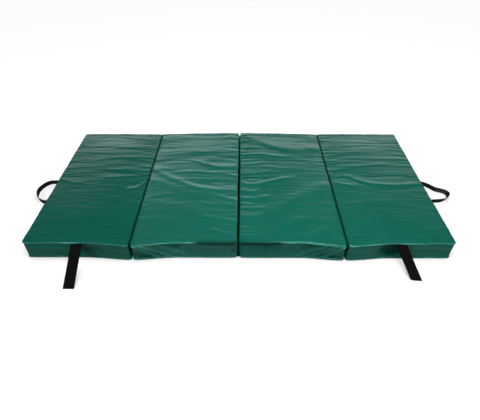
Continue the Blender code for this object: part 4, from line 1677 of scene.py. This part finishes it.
def add_ramp(tree, factor, stops):
    """A colour ramp: each stop is a place and a linear colour."""
    node = add_node(tree, "ShaderNodeValToRGB")
    elements = node.color_ramp.elements
    while len(elements) < len(stops):
        elements.new(0.5)
    for element, (place, colour) in zip(elements, stops):
        element.position = place
        element.color = (*colour, 1.0)
    tree.links.new(factor, node.inputs["Fac"])
    return node.outputs["Color"]


def add_bump(tree, height, distance, strength, below=None):
    """A Bump node, which may stand on another one's normal."""
    node = add_node(tree, "ShaderNodeBump", {"Distance": distance, "Strength": strength})
    tree.links.new(height, node.inputs["Height"])
    if below is not None:
        tree.links.new(below, node.inputs["Normal"])
    return node.outputs["Normal"]


# %% [markdown]
# ** Cover.** Coated polyester: a smooth, satin, slightly pebbled skin. The cloth under it
# shows through as a faint weave. The green is deep, and a little duller in cloudy patches.
# A highlight is painted into it on the crests of the wrinkles and along the front edge.
# Shade is painted into it in the valleys, the seam grooves, the dents beside the straps
# and beside the middle gap, where it is darker and mirrors less.

# %% Cover material
# The green from the darkest painted shade, over deep and plain cloth, to the lighter and
# lightest stops that painted highlights reach
GREENS = [
    (0.0, (0.0014, 0.038, 0.026)), (0.30, (0.0035, 0.094, 0.064)),
    (0.52, (0.0048, 0.112, 0.079)), (0.85, (0.0090, 0.130, 0.094)),
    (1.0, (0.0500, 0.260, 0.210)),
]
REFLECTION_TINT = (0.45, 1.0, 1.0, 1.0)
# Over this span of painted shade, in millimetres, shine falls to this share
DULL_SPAN = (-7.5, -3.5)
DULL_SHARE = 0.10
# How much a millimetre of painted light or shade shifts the colour
PAINTED_LIGHT_SHIFT = 0.06


def cover_material(name, darker, roughness, shine, pitch=0.0011, depth=0.00006):
    """Green coated fabric. Darker scales its colour, which for the four panels and the hinges
    paints light and shade into it; the weave that shows through it has its own pitch and
    depth, which are large for the base's grip pattern."""
    material, tree, shader = start_material(name, roughness, shine=shine)
    patches, grain = add_patches(tree, 5.0, 700.0)
    painted_light_and_shade = add_node(tree, "ShaderNodeAttribute", attribute_name="painted_light_and_shade").outputs["Fac"]
    # Painted highlights and shade shift the green, on top of the cloudy patches
    painted_shift = math_node(tree, "MULTIPLY", painted_light_and_shade, PAINTED_LIGHT_SHIFT)
    factor = math_node(tree, "ADD", ranged(tree, patches, 0.36, 0.66), painted_shift)
    stops = [(where, tuple(channel * darker for channel in colour)) for where, colour in GREENS]
    dulled = map_range(tree, painted_light_and_shade, DULL_SPAN, DULL_SHARE * shine, shine)
    tree.links.new(dulled, shader.inputs["Specular IOR Level"])
    shader.inputs["Specular Tint"].default_value = REFLECTION_TINT
    cloth = add_bump(tree, add_weave(tree, pitch, pitch), depth, 0.5)
    link_surface(
        tree, add_ramp(tree, factor, stops), ranged(tree, patches, roughness, roughness + 0.06),
        add_bump(tree, grain, 0.00010, 0.6, cloth),
    )
    return material


# Each panel's share of the colour, roughness and shine; the colour share paints each panel
# lighter or darker as the light falls on it
COVER_FINISHES = {
    1: (0.92, 0.13, 0.45), 2: (1.06, 0.22, 0.74), 3: (1.00, 0.18, 0.45), 4: (0.98, 0.16, 0.50)
}
cover_greens = {
    number: cover_material(f"coated_cover_green_{number}", *finish)
    for number, finish in COVER_FINISHES.items()
}
# The hinge is the cover's own fabric, painted at a third of its brightness and mirroring less, as
# painted shade in the gaps
hinge_green_painted_shade = cover_material("hinge_green_painted_shade", 0.32, 0.45, 0.12)
base_green = cover_material("base_grip_green", 0.80, 0.38, 0.50, 0.0050, 0.00060)

# %% [markdown]
# **Webbing and tapes.** Handle webbing is black, tight and a little shiny. Loop tape is
# a soft charcoal pile with smooth selvedges; hook tape is a denser black with rows of
# fine hooks. The zip's tape is a fine dark green weave.

# %% Woven materials
SELVEDGE_WIDTH = 0.0035
# Webbing colour by weave height: the threads that dip under are painted darker, as shade in the
# weave's hollows
WEBBING_SHADES = [(0.0, (0.0012, 0.0012, 0.0013)), (1.0, (0.0080, 0.0080, 0.0086))]


def webbing_material():
    """Black woven webbing: ribs along its length, crossed by fine weft."""
    material, tree, _ = start_material("black_webbing", 0.42, shine=0.20)
    patches, grain = add_patches(tree, 30.0, 2500.0)
    height = add_weave(tree, 0.0016, 0.0011)
    ribs = add_bump(tree, height, 0.00035, 0.9)
    link_surface(
        tree, add_ramp(tree, height, WEBBING_SHADES), ranged(tree, patches, 0.36, 0.55),
        add_bump(tree, grain, 0.00006, 0.5, ribs),
    )
    return material


def tape_material(name, pile_colour, edge_colour, pile_scale, roughness, pile_height, half_width):
    """Hook-and-loop tape: a pile in the middle and a plain woven selvedge at each side,
    told apart by the map's distance from the middle line."""
    material, tree, _ = start_material(name, roughness, shine=0.06)
    patches, pile = add_patches(tree, 40.0, pile_scale)
    split = add_node(tree, "ShaderNodeSeparateXYZ")
    tree.links.new(metre_map(tree), split.inputs[0])
    from_middle = math_node(tree, "ABSOLUTE", split.outputs["X"])
    edge = math_node(tree, "GREATER_THAN", from_middle, half_width - SELVEDGE_WIDTH)
    # The low parts of the pile are painted darker, as shade between its loops or hooks
    pile_shade = tuple(channel * 0.45 for channel in pile_colour)
    mix = add_node(tree, "ShaderNodeMix", data_type="RGBA")
    mix.inputs[7].default_value = (*edge_colour, 1.0)
    tree.links.new(edge, mix.inputs[0])
    tree.links.new(add_ramp(tree, pile, [(0.35, pile_shade), (0.70, pile_colour)]), mix.inputs[6])
    woven = math_node(tree, "MULTIPLY", add_weave(tree, 0.0010, 0.0010), edge)
    fluffy = math_node(tree, "MULTIPLY", pile, math_node(tree, "SUBTRACT", 1.0, edge))
    both = math_node(tree, "ADD", math_node(tree, "MULTIPLY", woven, 0.4), fluffy)
    link_surface(
        tree, mix.outputs[2], ranged(tree, patches, roughness - 0.08, roughness + 0.06),
        add_bump(tree, both, pile_height, 0.9),
    )
    return material


def cloth_material(name, dark, light, pitch, roughness):
    """A plain fine weave in two shades: darker where the threads dip under, a painted shade."""
    material, tree, _ = start_material(name, roughness)
    patches, _ = add_patches(tree, 25.0, 1800.0)
    height = add_weave(tree, pitch, pitch)
    link_surface(
        tree, add_ramp(tree, height, [(0.1, dark), (0.9, light)]),
        ranged(tree, patches, roughness - 0.06, roughness + 0.06),
        add_bump(tree, height, pitch * 0.25, 0.8),
    )
    return material


webbing_black = webbing_material()
loop_charcoal = tape_material(
    "loop_tape_charcoal", (0.0066, 0.0054, 0.0058), (0.0016, 0.0014, 0.0015),
    pile_scale=1500.0, roughness=0.90, pile_height=0.0007, half_width=0.025,
)
hook_black = tape_material(
    "hook_tape_black", (0.0022, 0.0022, 0.0023), (0.0008, 0.0008, 0.0008),
    pile_scale=900.0, roughness=0.65, pile_height=0.0009, half_width=0.025,
)
zip_tape_green = cloth_material(
    "zip_tape_green", (0.002, 0.016, 0.012), (0.006, 0.050, 0.037), 0.0007, 0.75
)
thread_green = cloth_material(
    "thread_green", (0.004, 0.040, 0.029), (0.012, 0.105, 0.078), 0.0003, 0.55
)
thread_black = cloth_material(
    "thread_black", (0.003, 0.003, 0.003), (0.016, 0.016, 0.017), 0.0003, 0.50
)

# %% [markdown]
# **Zip teeth, metal and foam.** The teeth are dark nylon. The sliders are plated metal
# with fine wear, and the foam is pale with open cells.

# %% Plain materials


def grained_material(name, dark, light, roughness, metallic, grain_scale, depth):
    """Two shades by cloudy patches, with a fine grain in the surface."""
    material, tree, _ = start_material(name, roughness, metallic)
    patches, grain = add_patches(tree, 60.0, grain_scale)
    link_surface(
        tree, add_ramp(tree, patches, [(0.3, dark), (0.7, light)]),
        ranged(tree, patches, roughness - 0.08, roughness + 0.10),
        add_bump(tree, grain, depth, 0.6),
    )
    return material


teeth_nylon = grained_material(
    "zip_teeth_nylon", (0.002, 0.012, 0.009), (0.004, 0.022, 0.016), 0.40, 0.0, 1500.0, 0.00005
)
zip_plated = grained_material(
    "zip_plated_metal", (0.42, 0.42, 0.43), (0.56, 0.56, 0.57), 0.32, 1.0, 2500.0, 0.00002
)
foam_pale = grained_material(
    "foam_pale", (0.50, 0.45, 0.30), (0.66, 0.61, 0.44), 0.95, 0.0, 700.0, 0.0008
)

# %% [markdown]
# ## Putting it together
# Every piece is given its finish and stands for the nodes that it replaces. The pieces
# of each panel, and each zip's slider and pull, ride on the body that carries them; the
# hinges, handles and straps ride on no body.

# %% Finishes, bodies and nodes


def finish_piece(piece, material, nodes=(), body=None):
    """Gives a piece its material, slot, body and the nodes that it stands for."""
    piece.data.materials.clear()
    piece.data.materials.append(material)
    if body:
        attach(piece, body)
    if nodes:
        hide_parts(*nodes)
    return piece


for number in PANELS:
    body = f"panel_{number}"
    nodes = [f"top_skin_{number}", f"side_band_{number}"]
    cover = finish_piece(covers[number], cover_greens[number], nodes, body)
    foam = finish_piece(foams[number], foam_pale, [f"foam_core_{number}"], body)
    for piece, fill in ((cover, 0.85), (foam, 1.0)):
        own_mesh(piece)
    base = finish_piece(base_sheets[number], base_green, [f"base_skin_{number}"], body)
    parts = zips[number]
    finish_piece(parts["tape"], zip_tape_green, [f"zip_chain_{number}"], body)
    finish_piece(parts["teeth"], teeth_nylon, (), body)
    finish_piece(parts["stitches"], thread_green, (), body)
    finish_piece(parts["stops"], zip_plated, (), body)
    for key in ("slider", "pull"):
        node = f"zip_{key}_{number}"
        finish_piece(parts[key], zip_plated, [node], node)

for seam, hinge in hinges.items():
    finish_piece(hinge, hinge_green_painted_shade)
    left, right = EDGES[seam][1], EDGES[seam + 1][0]
    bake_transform(hinge)
    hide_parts(f"hinge_{seam}_leaf_{seam}", f"hinge_{seam}_leaf_{seam + 1}")
for (seam, panel), stitches in hinge_stitches.items():
    finish_piece(stitches, thread_green, (), f"panel_{panel}")

for side, panel, outward in (("left", 1, -1), ("right", 4, 1)):
    handle = finish_piece(handles[side], webbing_black)
    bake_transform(handle)
    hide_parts(f"handle_{side}_loop", f"handle_{side}_front_tab", f"handle_{side}_back_tab")
    finish_piece(handle_stitches[side], thread_black, (), f"panel_{panel}")

for strap, material, slot_name, name, panel in (
    (loop_strap, loop_charcoal, "loop_tape", "loop_strap", 1),
    (hook_strap, hook_black, "hook_tape", "hook_strap", 4),
):
    finish_piece(strap, material)
    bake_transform(strap)
    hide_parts(name, f"{name}_sewn_end")

# %% [markdown]
# ## Floor, light and world
# The photograph is a cut-out on white. The floor is white to the camera and keeps a
# faint shadow: its glow dims near the mat and in the middle gap, a painted contact shadow,
# over the lamps' real shadow. An overhead lamp lights the mat and is mirrored in it, two
# side lamps only light it, and a strip in front is only mirrored. The world is a bright
# band some way above the horizon, dimmer at its foot and at both sides, so that the far
# half of the mat catches a grey sheen at its low angle, and the near half stays deep green.

# %% Floor
FLOOR_SIZE = 14.0
FLOOR_Z = -0.0008


def link_by_ray(tree, seen, other, output_name):
    """Shows one shader to rays from the camera or through glass, and another to the rest."""
    path = add_node(tree, "ShaderNodeLightPath")
    straight = math_node(
        tree, "MAXIMUM", path.outputs["Is Camera Ray"], path.outputs["Is Transmission Ray"]
    )
    mix = add_node(tree, "ShaderNodeMixShader")
    for k, socket in enumerate((straight, other.outputs[0], seen.outputs[0])):
        tree.links.new(socket, mix.inputs[k])
    tree.links.new(mix.outputs[0], tree.nodes[output_name].inputs["Surface"])


def floor_material():
    """White to the camera, with a glow that dims near the mat as a painted shadow over a faint
    real one; a plain pale floor to all other rays.
    """
    material = bpy.data.materials.new("studio_floor")
    material.use_nodes = True
    tree = material.node_tree
    tree.nodes.remove(tree.nodes["Principled BSDF"])
    plain = add_node(tree, "ShaderNodeBsdfDiffuse", {"Color": (0.28, 0.28, 0.28, 1)})
    shadowed = add_node(tree, "ShaderNodeBsdfDiffuse", {"Color": (0.36, 0.36, 0.36, 1)})
    glow = add_node(tree, "ShaderNodeEmission", {"Color": (1, 1, 1, 1)})
    nearness = add_node(tree, "ShaderNodeAmbientOcclusion", {"Distance": 0.07}, samples=8)
    # The glow fades near the mat and in the middle gap: a painted contact shadow
    tree.links.new(math_node(tree, "MULTIPLY", nearness.outputs["AO"], 0.90), glow.inputs["Strength"])
    both = add_node(tree, "ShaderNodeAddShader")
    tree.links.new(shadowed.outputs[0], both.inputs[0])
    tree.links.new(glow.outputs[0], both.inputs[1])
    link_by_ray(tree, both, plain, "Material Output")
    return material


def add_floor():
    """A large flat square just under the mat."""
    signs = ((-1, -1), (1, -1), (1, 1), (-1, 1))
    corners = [(x * FLOOR_SIZE / 2, y * FLOOR_SIZE / 2, FLOOR_Z) for x, y in signs]
    floor = add_piece("studio_floor", corners, [[0, 1, 2, 3]])
    floor.data.materials.append(floor_material())
    floor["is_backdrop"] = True


add_floor()

# %% World and lamps
HORIZON_STRENGTH = 1.70
OVERHEAD_STRENGTH = 0.03
FALLING_SHARE = 0.78
BAND_TOP_DEGREES = (21, 38)
BAND_FOOT_DEGREES = (5, 19)
FOOT_SHARE = 0.30
SIDE_PLACES = (0.30, 0.60)
SIDE_SHARE = 0.25


def add_world():
    """A bright band some way above the horizon, dimmer at its foot and at both sides and
    nearly dark overhead, by the ray's direction; plain white to the camera. Less of it
    falls on surfaces than is mirrored in them."""
    world = bpy.data.worlds.new("studio")
    bpy.context.scene.world = world
    world.use_nodes = True
    tree = world.node_tree
    split = add_node(tree, "ShaderNodeSeparateXYZ")
    direction = add_node(tree, "ShaderNodeTexCoord").outputs["Generated"]
    tree.links.new(direction, split.inputs[0])
    sideways = math_node(tree, "ABSOLUTE", split.outputs["X"])
    top, foot = np.sin(np.radians((BAND_TOP_DEGREES, BAND_FOOT_DEGREES))).tolist()
    strength = 1.0
    for value, span, low, high in (
        (split.outputs["Z"], top, HORIZON_STRENGTH, OVERHEAD_STRENGTH),
        (split.outputs["Z"], foot, FOOT_SHARE, 1.0),
        (sideways, SIDE_PLACES, 1.0, SIDE_SHARE),
    ):
        part = map_range(tree, value, span, low, high, "SMOOTHSTEP")
        strength = math_node(tree, "MULTIPLY", strength, part)
    falling = add_node(tree, "ShaderNodeLightPath").outputs["Is Diffuse Ray"]
    strength = math_node(tree, "MULTIPLY", strength, ranged(tree, falling, 1.0, FALLING_SHARE))
    background = tree.nodes["Background"]
    background.inputs["Color"].default_value = (1, 1, 1, 1)
    tree.links.new(strength, background.inputs["Strength"])
    white = add_node(tree, "ShaderNodeBackground", {"Color": (1, 1, 1, 1), "Strength": 1.0})
    link_by_ray(tree, white, background, "World Output")


def add_lamp(name, place, target, size, power, falls=True, mirrored=True):
    """A soft lamp that looks at a target. Its light falls on surfaces, is mirrored in
    them, or both."""
    data = bpy.data.lights.new(name, "AREA")
    data.shape = "RECTANGLE"
    data.size, data.size_y = size
    data.energy = power
    lamp = new_object(name, data)
    lamp.visible_diffuse = falls
    lamp.visible_glossy = mirrored
    lamp.location = place
    lamp.rotation_euler = (Vector(target) - Vector(place)).to_track_quat("-Z", "Y").to_euler()


add_world()
centre = (cad_low + cad_high) / 2
add_lamp("overhead_lamp", (0.30, -0.60, 2.0), (0.25, 0.0, 0.0), (0.9, 0.7), 36.0)
add_lamp("left_lamp", (-2.3, -2.0, 1.7), centre, (0.5, 0.5), 20.5, mirrored=False)
add_lamp("right_lamp", (2.3, -2.0, 1.7), centre, (0.5, 0.5), 22.5, mirrored=False)
add_lamp("front_strip_lamp", (0.0, -3.6, 1.6), (0.0, -0.4, 0.05), (6.0, 1.6), 110.0, falls=False)
bpy.context.scene.view_settings.view_transform = "Standard"

# %% Size and finish
low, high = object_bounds()
print("box of the dressed model, mm:", [round(v / MM) for v in (*low, *high)])
